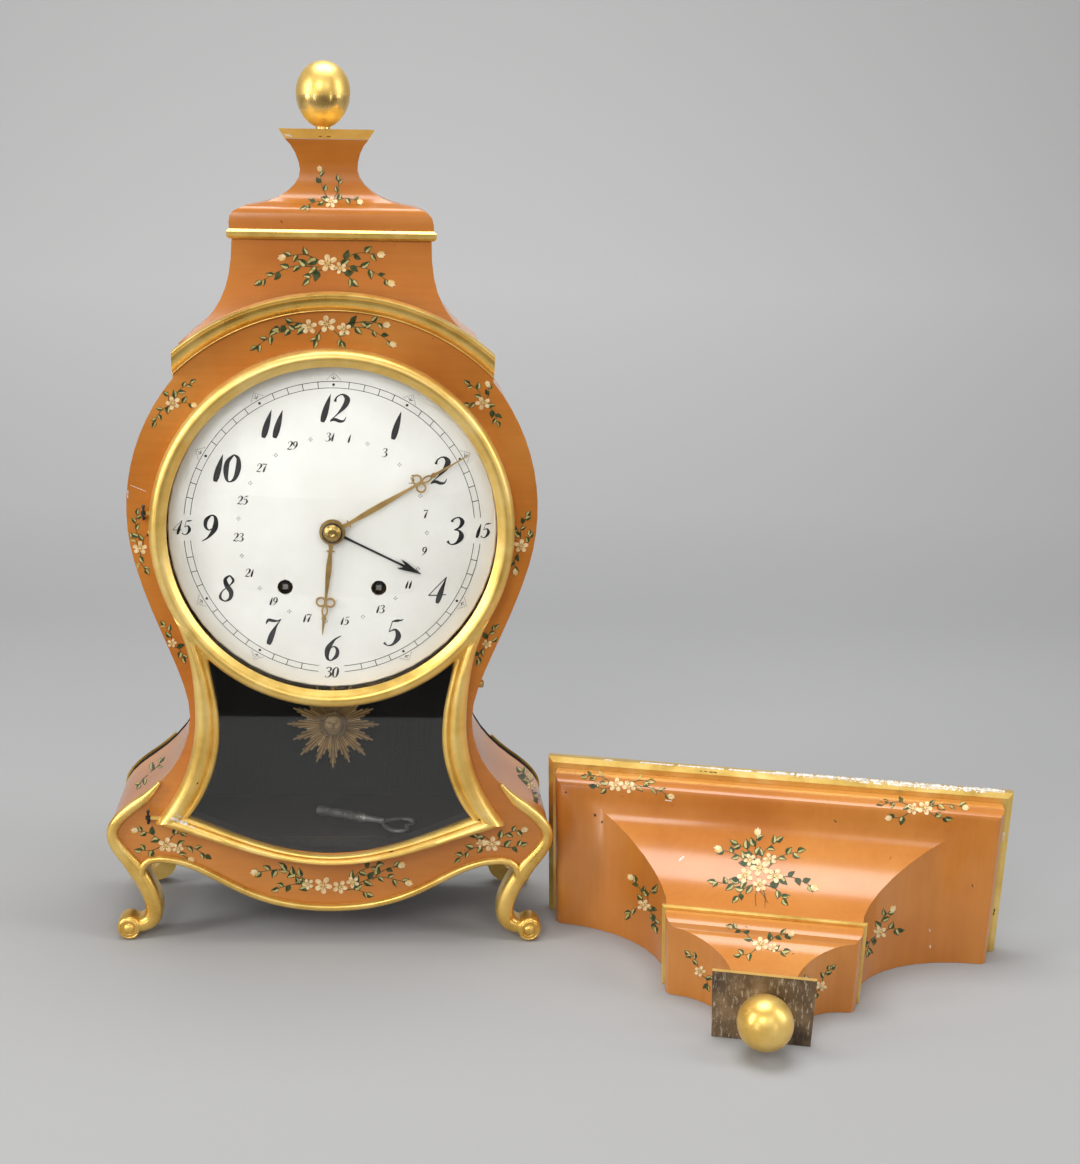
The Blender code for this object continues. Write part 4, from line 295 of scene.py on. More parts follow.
def metal(name, deep, pale, rough, grain, bright=1.0):
    """Worked metal with drawn lines and a little tarnish; dull lacquered metal is less bright than one."""
    material, tree, shader = new_material(name)
    lines = noise(tree, place_nodes(tree, grain), 14.0, 4.0)
    tarnish = noise(tree, place_nodes(tree), 60.0, 4.0)
    tree.links.new(ramp(tree, tarnish, [(0.34, deep), (0.62, pale)]), shader.inputs["Base Color"])
    shader.inputs["Metallic"].default_value = bright
    tree.links.new(spread(tree, lines, rough, rough + 0.18), shader.inputs["Roughness"])
    bump(tree, shader, lines, 0.06, 0.0003)
    return material


def wood(name, dark, pale, rough, inside_shade=None):
    """Plain boards with long grain; the side that faces the clock's front may take a near-black colour,
    painted shade inside the case.
    """
    material, tree, shader = new_material(name)
    grain = noise(tree, place_nodes(tree, (16, 16, 1.6)), 6.0, 6.0, 0.65)
    pores = noise(tree, place_nodes(tree, (60, 60, 4)), 9.0, 3.0)
    colour = ramp(tree, grain, [(0.32, dark), (0.68, pale)])
    marks = ramp(tree, pores, [(0.36, (0.55, 0.52, 0.5)), (0.5, (1, 1, 1))])
    colour = blend(tree, "MULTIPLY", 0.7, colour, marks)
    # Painted shade: faces not turned to the back take the near-black inside colour
    if inside_shade:
        rear = ramp(tree, along(tree, "Normal", "Y"), [(0.3, (0, 0, 0)), (0.5, (1, 1, 1))])
        colour = blend(tree, "MIX", rear, inside_shade, colour)
    tree.links.new(colour, shader.inputs["Base Color"])
    tree.links.new(spread(tree, grain, rough, rough + 0.15), shader.inputs["Roughness"])
    shader.inputs["Specular IOR Level"].default_value = 0.1
    bump(tree, shader, pores, 0.25, 0.0005)
    return material


def paint(name, dark, pale, scale=260.0):
    """Thin brush paint that varies within each stroke."""
    material, tree, shader = new_material(name)
    stroke = noise(tree, place_nodes(tree), scale, 2.0)
    tree.links.new(ramp(tree, stroke, [(0.36, dark), (0.64, pale)]), shader.inputs["Base Color"])
    tree.links.new(spread(tree, stroke, 0.34, 0.5), shader.inputs["Roughness"])
    shader.inputs["Specular IOR Level"].default_value = 0.25
    return material


def enamel(name):
    material, tree, shader = new_material(name)
    cloud = noise(tree, place_nodes(tree), 18.0, 3.0)
    colour = ramp(tree, cloud, [(0.35, (0.66, 0.645, 0.62)), (0.65, (0.71, 0.70, 0.685))])
    tree.links.new(colour, shader.inputs["Base Color"])
    tree.links.new(spread(tree, cloud, 0.16, 0.24), shader.inputs["Roughness"])
    shader.inputs["Coat Weight"].default_value = 0.25
    shader.inputs["Coat Roughness"].default_value = 0.05
    return material


def clear_glass(name, tint):
    """Pane that lets lamps through, with faint marks in its gloss."""
    material, tree, shader = new_material(name)
    film = noise(tree, place_nodes(tree), 30.0, 4.0)
    tree.links.new(spread(tree, film, 0.012, 0.03), shader.inputs["Roughness"])
    shader.inputs["Base Color"].default_value = (*tint, 1)
    shader.inputs["Transmission Weight"].default_value = 1.0
    shader.inputs["IOR"].default_value = 1.45
    path = tree.nodes.new("ShaderNodeLightPath")
    through = tree.nodes.new("ShaderNodeBsdfTransparent")
    through.inputs["Color"].default_value = (*tint, 1)
    mix = tree.nodes.new("ShaderNodeMixShader")
    tree.links.new(path.outputs["Is Shadow Ray"], mix.inputs["Fac"])
    tree.links.new(shader.outputs["BSDF"], mix.inputs[1])
    tree.links.new(through.outputs["BSDF"], mix.inputs[2])
    tree.links.new(mix.outputs["Shader"], tree.nodes["Material Output"].inputs["Surface"])
    return material


ORANGE = ((0.46, 0.148, 0.018), (0.54, 0.194, 0.030), (0.61, 0.250, 0.050))
LACQUER = lacquer("lacquer", *ORANGE, (5, 5, 90))
LACQUER_UP = lacquer("lacquer_upright", *ORANGE, (70, 70, 5))
GILT = gilt("gilt", (0.68, 0.40, 0.07), (0.84, 0.54, 0.13), (0.95, 0.68, 0.22), 0.30, 0.72,
            (0.34, 0.15, 0.05))
GILT_BRIGHT = gilt("gilt_bright", (0.76, 0.46, 0.09), (0.90, 0.60, 0.155), (0.97, 0.73, 0.27), 0.36, 0.76,
                   (0.36, 0.17, 0.06))
GILT_MATT = gilt("gilt_matt", (0.64, 0.39, 0.10), (0.78, 0.52, 0.16), (0.90, 0.66, 0.27), 0.22, 0.74,
                 (0.30, 0.15, 0.06))
GILT_CHIPPED = gilt("gilt_chipped", (0.70, 0.43, 0.09), (0.84, 0.56, 0.14), (0.93, 0.69, 0.25), 0.30, 0.70,
                    (0.78, 0.75, 0.69), 30.0)
WORN_PLATE = rubbed("worn_plate")
BRASS = metal("brass", (0.42, 0.26, 0.07), (0.66, 0.46, 0.17), 0.22, (60, 4, 60))
GILT_BRASS = metal("gilt_brass", (0.66, 0.46, 0.20), (0.88, 0.68, 0.36), 0.40, (40, 40, 40), 0.55)
# Darker brass: painted shade in the hollows and round the edge of the bob's mask
DARK_BRASS = metal("dark_brass", (0.10, 0.062, 0.028), (0.24, 0.155, 0.070), 0.42, (40, 40, 40), 0.55)
STEEL = metal("steel", (0.36, 0.35, 0.34), (0.58, 0.57, 0.56), 0.24, (60, 4, 60))
DARK_STEEL = metal("dark_steel", (0.022, 0.022, 0.024), (0.075, 0.073, 0.072), 0.36, (50, 50, 4))
WORN_STEEL = metal("worn_steel", (0.10, 0.095, 0.09), (0.25, 0.24, 0.23), 0.36, (50, 50, 50), 0.7)
KEY_STEEL = metal("key_steel", (0.050, 0.048, 0.046), (0.120, 0.115, 0.110), 0.38, (50, 50, 4), 0.5)
ARBOR_STEEL = metal("arbor_steel", (0.10, 0.098, 0.095), (0.20, 0.195, 0.19), 0.36, (60, 4, 60), 0.4)
HAND_BRASS = metal("hand_brass", (0.34, 0.20, 0.06), (0.56, 0.36, 0.13), 0.28, (60, 4, 60), 0.75)
# Hair and mid brass: painted shade on the bob's hair locks, on every other ray and on the mask's face
HAIR_BRASS = metal("hair_brass", (0.20, 0.13, 0.058), (0.34, 0.23, 0.11), 0.42, (40, 40, 40), 0.55)
MID_BRASS = metal("mid_brass", (0.30, 0.20, 0.085), (0.48, 0.34, 0.16), 0.42, (40, 40, 40), 0.55)
# Near-black boards inside the case and on the wall of the keyhole opening: painted shade
SHADE_BLACK_WOOD = wood("bare_wood", (0.012, 0.010, 0.009), (0.030, 0.026, 0.022), 0.5)
# Back and top boards: wood outside, near black on the faces inside the case as painted shade
BACK_WOOD = wood("back_wood", (0.11, 0.060, 0.028), (0.20, 0.115, 0.055), 0.55, (0.008, 0.007, 0.006))
ENAMEL = enamel("enamel")
GLASS = clear_glass("glass", (0.97, 0.98, 0.97))
INK = paint("dial_ink", (0.006, 0.006, 0.008), (0.018, 0.017, 0.018))
LEAF_DARK = paint("leaf_dark", (0.024, 0.038, 0.012), (0.066, 0.086, 0.028))
LEAF_PALE = paint("leaf_pale", (0.34, 0.31, 0.10), (0.58, 0.49, 0.21))
PETAL = paint("petal", (0.66, 0.47, 0.23), (0.86, 0.69, 0.41))
PETAL_SHADE = paint("petal_shade", (0.48, 0.27, 0.09), (0.62, 0.39, 0.16))
BUD = paint("bud", (0.62, 0.40, 0.10), (0.80, 0.58, 0.22))
STEM = paint("stem", (0.055, 0.042, 0.014), (0.17, 0.12, 0.045))
GESSO = paint("gesso", (0.64, 0.61, 0.55), (0.84, 0.82, 0.78))
OLD_MARK = paint("old_mark", (0.045, 0.020, 0.010), (0.12, 0.055, 0.022))
SPRAY_PAINTS = (LEAF_DARK, LEAF_PALE, PETAL, PETAL_SHADE, BUD, STEM)
DARK, PALE, CREAM, SHADE, YELLOW, TWIG = range(6)

# Solids that keep their shape and take a material
KEPT = {
    LACQUER: ("front_panel", "hood_body", "hood_cap"),
    LACQUER_UP: ("side_panel_left", "side_panel_right", "bracket_upper_body", "bracket_lower_body"),
    BACK_WOOD: ("back_board", "top_board"),
    SHADE_BLACK_WOOD: ("bottom_board", "seat_board"),
    GILT: ("arch_cornice", "hood_band", "apron_edging", "bracket_lower_edge", "leg_front_left",
           "leg_front_right", "leg_rear_left", "leg_rear_right"),
    GILT_BRIGHT: ("finial", "bracket_ball", "door_frame"),
    GILT_CHIPPED: ("cap_plate", "bracket_shelf"),
    WORN_PLATE: ("bracket_base_plate",),
    BRASS: ("door_catch", "release_button", "cannon_pinion", "minute_wheel",
            "hour_wheel", "going_barrel", "intermediate_wheel", "centre_wheel", "third_wheel", "escape_wheel",
            "strike_barrel", "pin_wheel", "fly", "front_plate", "back_plate", "back_cock", "bell",
            "pendulum_rod", "hour_hand", "minute_hand", "hand_nut"),
    GILT_BRASS: ("pendulum_bob",),
    ARBOR_STEEL: ("going_winding_arbor", "strike_winding_arbor"),
    STEEL: ("pallet_anchor", "hammer", "bell_stand"),
    DARK_STEEL: ("date_hand", "winding_key", "hinge_upper", "hinge_lower"),
    ENAMEL: ("dial",),
    GLASS: ("dial_glass", "window_glass"),
}


def dress(node, material, angle=32):
    """Give a kept solid its material and smooth its faceted curves."""
    thing = NODES[node]
    thing.data.materials.clear()
    thing.data.materials.append(material)
    for face in thing.data.polygons:
        face.use_smooth = True
    weld = thing.modifiers.new("weld", "WELD")
    weld.merge_threshold = 0.00002
    split = thing.modifiers.new("crease", "EDGE_SPLIT")
    split.split_angle = radians(angle)


for kept_material, kept_nodes in KEPT.items():
    for kept_node in kept_nodes:
        dress(kept_node, kept_material)


# Camera, lamps and floor

def camera_axes():
    forward = Vector((sin(CAMERA_YAW) * cos(CAMERA_PITCH), cos(CAMERA_YAW) * cos(CAMERA_PITCH),
                      -sin(CAMERA_PITCH)))
    level = Vector((cos(CAMERA_YAW), -sin(CAMERA_YAW), 0))
    rise = level.cross(forward)
    right = level * cos(CAMERA_ROLL) + rise * sin(CAMERA_ROLL)
    return right, rise * cos(CAMERA_ROLL) - level * sin(CAMERA_ROLL), forward


RIGHT, UP, FORWARD = camera_axes()
EYE = clock(*CAMERA_AT)


def add_camera():
    data = bpy.data.cameras.new("camera")
    data.sensor_width = 36
    data.lens = 36 * FOCAL_PIXELS / PHOTO_HEIGHT
    data.shift_x = (PHOTO_WIDTH / 2 - AXIS_X) / PHOTO_HEIGHT
    data.shift_y = (AXIS_Y - PHOTO_HEIGHT / 2) / PHOTO_HEIGHT
    data.clip_end = 50
    camera = bpy.data.objects.new("camera", data)
    turn = Matrix((RIGHT, UP, -FORWARD)).transposed().to_4x4()
    camera.matrix_world = Matrix.Translation(EYE) @ turn
    bpy.context.scene.collection.objects.link(camera)
    bpy.context.scene.camera = camera


def add_lamp(name, place, aim, width, height, power, colour):
    data = bpy.data.lights.new(name, "AREA")
    data.shape = "RECTANGLE"
    data.size = width
    data.size_y = height
    data.energy = power
    data.color = colour
    lamp = bpy.data.objects.new(name, data)
    lamp.location = place
    lamp.rotation_euler = (Vector(aim) - Vector(place)).to_track_quat("-Z", "Y").to_euler()
    bpy.context.scene.collection.objects.link(lamp)


# Paper colour by height, painted light: darker on the floor, paler up the backdrop
PAPER_PAINTED_LIGHT = [(0.0, (0.40, 0.404, 0.408)), (0.06, (0.47, 0.474, 0.478)), (0.35, (0.61, 0.614, 0.62)),
         (1.0, (0.66, 0.664, 0.67))]
PAPER_EDGE = 0.56
PAPER_LIGHT_FADE = (0.15, 1.1)
SWEEP_FRONT = -6.0
SWEEP_HALF = 7
SWEEP_TOP = 6.0
SWEEP_DROP = 0.0002
FLOOR_END = 1.0
FLOOR_BEND = 1.6


def add_stage():
    """Pale floor that sweeps up into a slightly paler backdrop, with painted light: paler up the backdrop and
    behind the clock, darker near it; in front of its edge the paper is painted near black, as the shade of
    the unlit room beyond the table.
    """
    profile = [(SWEEP_FRONT, 0.0), (-2.0, 0.0), (FLOOR_END, 0.0)]
    for i in range(1, 25):
        turn = pi / 2 * i / 24
        profile.append((FLOOR_END + FLOOR_BEND * sin(turn), FLOOR_BEND - FLOOR_BEND * cos(turn)))
    profile.append((FLOOR_END + FLOOR_BEND, SWEEP_TOP))
    vertices = [(x, y, z - SWEEP_DROP) for y, z in profile for x in (-SWEEP_HALF, SWEEP_HALF)]
    faces = [(2 * i, 2 * i + 1, 2 * i + 3, 2 * i + 2) for i in range(len(profile) - 1)]
    mesh = bpy.data.meshes.new("sweep")
    mesh.from_pydata(vertices, [], faces)
    for face in mesh.polygons:
        face.use_smooth = True
    material, tree, shader = new_material("paper")
    depth = along(tree, "Object", "Y")
    # Painted shade: the paper in front of its edge is near black, standing for the unlit room beyond the
    # table
    edge = remap(tree, depth, CLOCK.y - PAPER_EDGE - 0.004, CLOCK.y - PAPER_EDGE)
    ground = ramp(tree, edge, [(0, (0.02, 0.02, 0.02)), (1, (1, 1, 1))])
    # Painted light: the paper is darker on the floor near the clock and paler further behind it
    behind = remap(tree, depth, CLOCK.y + PAPER_LIGHT_FADE[0], CLOCK.y + PAPER_LIGHT_FADE[1])
    painted_light_fade = ramp(tree, behind, [(0, (0.86, 0.86, 0.86)), (1, (1, 1, 1))])
    paper = ramp(tree, along(tree, "Object", "Z"), PAPER_PAINTED_LIGHT)
    paper = blend(tree, "MULTIPLY", 1.0, paper, painted_light_fade)
    tree.links.new(blend(tree, "MULTIPLY", 1.0, paper, ground), shader.inputs["Base Color"])
    shader.inputs["Roughness"].default_value = 0.8
    mesh.materials.append(material)
    sweep = bpy.data.objects.new("sweep", mesh)
    bpy.context.scene.collection.objects.link(sweep)


def add_world():
    world = bpy.data.worlds.new("studio")
    world.use_nodes = True
    world.node_tree.nodes["Background"].inputs["Color"].default_value = (0.89, 0.88, 0.87, 1)
    world.node_tree.nodes["Background"].inputs["Strength"].default_value = 0.40
    bpy.context.scene.world = world


add_camera()
add_stage()
add_world()
add_lamp("box_left", clock(-0.58, -1.90, 1.45), clock(0, 0, 0.35), 0.75, 0.70, 13, (1.0, 0.985, 0.96))
add_lamp("box_right", clock(0.66, -1.95, 1.45), clock(0.1, 0, 0.35), 0.65, 0.70, 4.2, (0.98, 0.99, 1.0))
add_lamp("strip_left", clock(-1.42, -1.90, 0.45), clock(0, 0, 0.30), 0.16, 0.90, 5, (1.0, 0.99, 0.97))
add_lamp("strip_right", clock(1.34, -1.90, 0.40), clock(0.1, 0, 0.30), 0.10, 0.75, 2, (1.0, 0.99, 0.97))
add_lamp("panel_left", clock(-1.50, -0.60, 0.90), clock(0, 0, 0.25), 0.40, 1.20, 15, (1.0, 0.98, 0.95))
add_lamp("panel_right", clock(1.60, -0.45, 1.00), clock(0.1, 0, 0.25), 0.40, 1.20, 9, (1.0, 0.99, 0.975))
add_lamp("top", clock(0.10, 0.16, 2.0), clock(0.10, 0.12, 0.2), 1.3, 1.05, 30, (1.0, 1.0, 1.0))
bpy.context.scene.view_settings.view_transform = "Standard"


# Mesh building

def bridge(bm, first, second):
    """Faces between two rings of vertices; rings may have shrunk to one vertex."""
    count = len(first)
    for i in range(count):
        j = (i + 1) % count
        corners = list(dict.fromkeys((first[i], first[j], second[j], second[i])))
        if len(corners) > 2:
            bm.faces.new(corners)


def loft(bm, rings):
    """Closed body through rings of points."""
    made = [[bm.verts.new(p) for p in ring] for ring in rings]
    for first, second in zip(made, made[1:]):
        bridge(bm, first, second)
    bm.faces.new(made[0][::-1])
    bm.faces.new(made[-1])


def lathe(bm, profile, count, place, hollow=False):
    """Turned body of (radius, height) points about a matrix's Z axis; a hollow profile closes on itself."""
    rows = []
    for radius, height in profile:
        if radius == 0:
            rows.append([bm.verts.new(place @ Vector((0, 0, height)))] * count)
            continue
        ring = [polar((0, 0), radius, 2 * pi * i / count) for i in range(count)]
        rows.append([bm.verts.new(place @ Vector((x, y, height))) for x, y in ring])
    for first, second in zip(rows, rows[1:]):
        bridge(bm, first, second)
    if hollow:
        bridge(bm, rows[-1], rows[0])


def tube(bm, path, radius, sides=10):
    """Round wire along a path of points, closed at both ends."""
    path = [Vector(p) for p in path]
    rings = []
    for i, point in enumerate(path):
        way = (path[min(i + 1, len(path) - 1)] - path[max(i - 1, 0)]).normalized()
        across = way.cross(Vector((0, 0, 1)) if abs(way.z) < 0.9 else Vector((0, 1, 0))).normalized()
        rise = across.cross(way)
        turns = [2 * pi * k / sides for k in range(sides)]
        rings.append([point + across * (radius * cos(a)) + rise * (radius * sin(a)) for a in turns])
    loft(bm, rings)


def colour_from(bm, first, index):
    """Give all faces after a first count the material of an index."""
    bm.faces.ensure_lookup_table()
    for face in bm.faces[first:]:
        face.material_index = index


def path_sides(path):
    """Unit vector to the left of a path at each of its points."""
    sides = []
    for i in range(len(path)):
        a, b = path[max(i - 1, 0)], path[min(i + 1, len(path) - 1)]
        length = hypot(b[0] - a[0], b[1] - a[1]) or 1
        sides.append((-(b[1] - a[1]) / length, (b[0] - a[0]) / length))
    return sides


def facing(x, z):
    """Matrix whose Z axis points out of the clock's front."""
    return Matrix.Translation((x, 0, z)) @ Matrix.Rotation(pi / 2, 4, "X")


def piece(name, bm, materials, body, slot, *replaced, at=None, angle=38):
    """Object from a mesh in clock coordinates, riding on a body in place of the solids named."""
    bmesh.ops.recalc_face_normals(bm, faces=bm.faces)
    mesh = bpy.data.meshes.new(name)
    bm.to_mesh(mesh)
    bm.free()
    for face in mesh.polygons:
        face.use_smooth = True
    mesh.set_sharp_from_angle(angle=radians(angle))
    for material in materials:
        mesh.materials.append(material)
    thing = bpy.data.objects.new(name, mesh)
    thing.matrix_world = at or Matrix.Translation(CLOCK)
    bpy.context.scene.collection.objects.link(thing)
    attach(thing, body)
    if replaced:
        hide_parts(*replaced)
    return thing


AT_BRACKET = Matrix.Translation(clock(*BRACKET_AT, 0))
TURNED = Matrix.Rotation(BRACKET_TURN, 4, "Z")


# Door: moulded bezel, side bars and hanging foot bar

BEZEL_RADIUS = 0.134
BAR_LEAVE = radians(-28.8)
DOOR_TIP = (0.1324, 0.0957)
DOOR_WAIST = (0.1015, 0.179)
WINDOW_CORNER = (0.1073, 0.101)
WINDOW_WAIST = (0.0833, 0.167)
WINDOW_TOP = (0.091, DIAL_Z - sqrt(BEZEL_RADIUS ** 2 - 0.091 ** 2))
DOOR_FOOT_Z = 0.0633
WINDOW_FOOT_Z = 0.0711
DOOR_BACK = -0.0003
GLASS_SEAT = -0.0087
GLASS_REBATE = 0.0025
WINDOW_EASE = 0.024
BAR_STEPS = 40
FOOT_STEPS = 28
HINGE_AT = (-0.1375, -0.0078)
HINGE_EYE_HEIGHT = 0.0024
HINGE_EYE = [(0.0011, 0), (0.0020, 0), (0.0020, HINGE_EYE_HEIGHT), (0.0011, HINGE_EYE_HEIGHT)]
HINGES = [("hinge_upper", DIAL_Z + 0.0110, -0.1265), ("hinge_lower", DOOR_TIP[1] + 0.0030, -0.1225)]
HINGE_WEB = 0.0008
HOOK_WIRE = 0.0009
HOOK_END_Y = 0.0006
KNOB_RADIUS = 0.0014
KNOB_RISE = 0.0062
DIAL_AT = (0, DIAL_Z)

# Share across a bar from its outer edge, and how far its face stands out
BAR_SHAPE = [(0, DOOR_BACK), (0, -0.0072), (0.03, -0.0096), (0.10, -0.0121), (0.21, -0.0142), (0.36, -0.0153),
             (0.52, -0.0149), (0.64, -0.0133), (0.695, -0.0118), (0.73, -0.0113), (0.765, -0.0118),
             (0.83, -0.0127), (0.90, -0.0122), (0.965, -0.0107), (1, -0.0092), (1, GLASS_SEAT)]
BEZEL_SHAPE = [(0.1340, 0.0003), (0.1340, 0.0080), (0.1337, 0.0096), (0.1328, 0.0119), (0.1313, 0.0139),
               (0.1294, 0.0150), (0.1275, 0.0153), (0.1257, 0.0147), (0.1242, 0.0135), (0.1230, 0.0122),
               (0.1221, 0.0113), (0.1214, 0.0107), (0.1210, 0.0102), (0.1210, 0.0087), (0.1235, 0.0087),
               (0.1235, 0.0003)]


def bar(bm, outer, inner):
    rings = []
    for (xo, zo), (xi, zi) in zip(outer, inner):
        seat = 1 - GLASS_REBATE / hypot(xi - xo, zi - zo)
        section = BAR_SHAPE + [(seat, GLASS_SEAT), (seat, DOOR_BACK)]
        rings.append([(xo + (xi - xo) * t, y, zo + (zi - zo) * t) for t, y in section])
    loft(bm, rings)


def window_side(grow, side_steps, top_steps):
    """Right edge of the window from its lower corner up to the bezel, moved out by grow."""
    x, z = WINDOW_CORNER[0] + grow, WINDOW_CORNER[1]
    waist_x, waist_z = WINDOW_WAIST[0] + grow, WINDOW_WAIST[1]
    leave = (x - WINDOW_EASE / 2, z + WINDOW_EASE / 2)
    side = bezier((x, z), leave, (waist_x, waist_z - WINDOW_EASE), (waist_x, waist_z), side_steps)
    rise = ((WINDOW_WAIST[0] + WINDOW_TOP[0]) / 2 + grow, WINDOW_TOP[1] - WINDOW_EASE)
    end = (WINDOW_TOP[0] + grow, WINDOW_TOP[1])
    return side + bezier((waist_x, waist_z), (waist_x, waist_z + WINDOW_EASE), rise, end, top_steps)[1:]


def window_foot(grow):
    """Right half of the window's lower edge, moved out by grow."""
    x, z = WINDOW_CORNER
    low = WINDOW_FOOT_Z - grow
    lift = (z - WINDOW_FOOT_Z) * 0.43
    return bezier((0, low), (x * 0.37, low), (x * 0.7, z - lift - grow), (x + grow, z), 24)


def build_door():
    bm = bmesh.new()
    lathe(bm, BEZEL_SHAPE, 128, facing(0, DIAL_Z), hollow=True)
    rise = DOOR_WAIST[1] - DOOR_TIP[1]
    swing = (DOOR_WAIST[0] + (DOOR_TIP[0] - DOOR_WAIST[0]) * 0.35, DOOR_TIP[1] + rise * 0.27)
    outer = bezier(DOOR_TIP, swing, (DOOR_WAIST[0], DOOR_WAIST[1] - rise * 0.35), DOOR_WAIST, 20)
    leave = polar(DIAL_AT, BEZEL_RADIUS, BAR_LEAVE)
    run_out = polar(leave, 0.026, BAR_LEAVE - pi / 2)
    outer += bezier(DOOR_WAIST, (DOOR_WAIST[0], DOOR_WAIST[1] + 0.026), run_out, leave, 16)[1:]
    outer = even(outer, BAR_STEPS)
    inner = even(window_side(0, 20, 16), BAR_STEPS)
    sunk = BEZEL_RADIUS - 0.006
    outer.append(polar(DIAL_AT, sunk, BAR_LEAVE))
    inner.append(polar(DIAL_AT, sunk, atan2(WINDOW_TOP[1] - DIAL_Z, WINDOW_TOP[0])))
    for side in (-1, 1):
        bar(bm, [(side * x, z) for x, z in outer], [(side * x, z) for x, z in inner])

    fall = DOOR_TIP[1] - DOOR_FOOT_Z
    low = bezier((0, DOOR_FOOT_Z), (DOOR_TIP[0] * 0.37, DOOR_FOOT_Z),
                 (DOOR_TIP[0] * 0.68, DOOR_TIP[1] - fall * 0.36), DOOR_TIP, 24)
    low = even(low, FOOT_STEPS)
    high = even(window_foot(0), FOOT_STEPS)
    bar(bm, mirrored(low), mirrored(high))

    for _, z, root in HINGES:
        first = len(bm.faces)
        lathe(bm, HINGE_EYE, 20, Matrix.Translation((*HINGE_AT, z)), hollow=True)
        colour_from(bm, first, 1)
        x, y = HINGE_AT
        end = x + 0.0014
        web = [(root, y - HINGE_WEB), (end, y - HINGE_WEB), (end, y + HINGE_WEB), (root, y + HINGE_WEB)]
        loft(bm, [[(u, v, z + up) for u, v in web] for up in (0, HINGE_EYE_HEIGHT)])
    return piece("door_moulding", bm, [GILT_BRIGHT, DARK_STEEL], "door", "gilt", "door_frame")


def build_hinges():
    """Iron hooks in the case that the eyes of the door turn on."""
    x, y = HINGE_AT
    for node, z, _ in HINGES:
        bm = bmesh.new()
        hook = smooth_path([(z + 0.0068, y), (z - 0.0022, y), (z - 0.0036, y + 0.0016),
                            (z - 0.0040, HOOK_END_Y)], 5)
        tube(bm, [(x, v, u) for u, v in hook], HOOK_WIRE, 12)
        turns = [pi * i / 8 for i in range(1, 8)]
        knob = [(KNOB_RADIUS * sin(turn), KNOB_RISE - KNOB_RADIUS * cos(turn)) for turn in turns]
        profile = [(0, KNOB_RISE - KNOB_RADIUS)] + knob + [(0, KNOB_RISE + KNOB_RADIUS)]
        lathe(bm, profile, 16, Matrix.Translation((x, y, z)))
        piece(node + "_hook", bm, [DARK_STEEL], "case", "dark_steel", node)


DOOR = build_door()
build_hinges()


# Egg finial, seated close on its plate: this egg is fuller above, and the one turned below fuller at its foot

FINIAL_RADIUS = 0.0201
FINIAL_TAPER = 0.05
FINIAL_NECK = 0.0052
FINIAL_SEAT = 0.0006


def build_finial():
    low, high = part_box("finial")
    middle = (low + high) / 2 - CLOCK
    bottom = low.z + FINIAL_SEAT
    tall = high.z - bottom
    profile = [(0, low.z), (FINIAL_NECK, low.z), (FINIAL_NECK, bottom + 0.0005)]
    for i in range(3, 32):
        turn = pi * i / 32
        radius = FINIAL_RADIUS * sin(turn) * (1 - FINIAL_TAPER * cos(turn))
        profile.append((radius, bottom + tall * (1 - cos(turn)) / 2))
    profile.append((0, high.z))
    bm = bmesh.new()
    lathe(bm, profile, 48, Matrix.Translation((middle.x, middle.y, 0)))
    piece("finial_egg", bm, [GILT_BRIGHT], "case", "gilt", "finial", angle=50)


build_finial()


# Legs, edging and scrolls

BELLY = (0.1687, 0.084)
KNEE = (0.152, 0.052)
HIP = (0.1435, 0.1137)
WAIST = (0.106, 0.178)
EDGING_START_Z = 0.127
EDGING_FRONT = -0.0045
EDGING_BACK = -0.0003
LEG_WIDTH = 0.0135
LEG_DEPTH = 0.013
FOOT = (0.154, 0.009)
CASE_DEPTH = 0.112
SCROLL_WIRE = 0.0009
SCROLL_FRONT = -0.0054
APRON_WIDTH = 0.0055

# Scroll end of a foot: radius, and how far it stands out
SCROLL_DISC = [(0, 0.0082), (0.0016, 0.0080), (0.0030, 0.0074), (0.0039, 0.0064), (0.0043, 0.0056),
               (0.0050, 0.0054), (0.0062, 0.0058), (0.0074, 0.0056), (0.0084, 0.0048), (0.0090, 0.0036),
               (0.0090, -0.0115), (0.0082, -0.0125), (0, -0.0125)]


def round_moulding(bm, path, widths, backs, front, place):
    """Half-round moulding of changing width along a path on the clock's front."""
    rings = []
    for point, side, width, back in zip(path, path_sides(path), widths, backs):
        half = width / 2
        depth = min(half, back - front)
        section = [(-half, back)]
        for k in range(13):
            turn = pi - pi * k / 12
            section.append((half * cos(turn), front + depth * (1 - sin(turn))))
        section.append((half, back))
        spots = [(point[0] + side[0] * s, y, point[1] + side[1] * s) for s, y in section]
        rings.append([place @ Vector(spot) for spot in spots])
    loft(bm, rings)


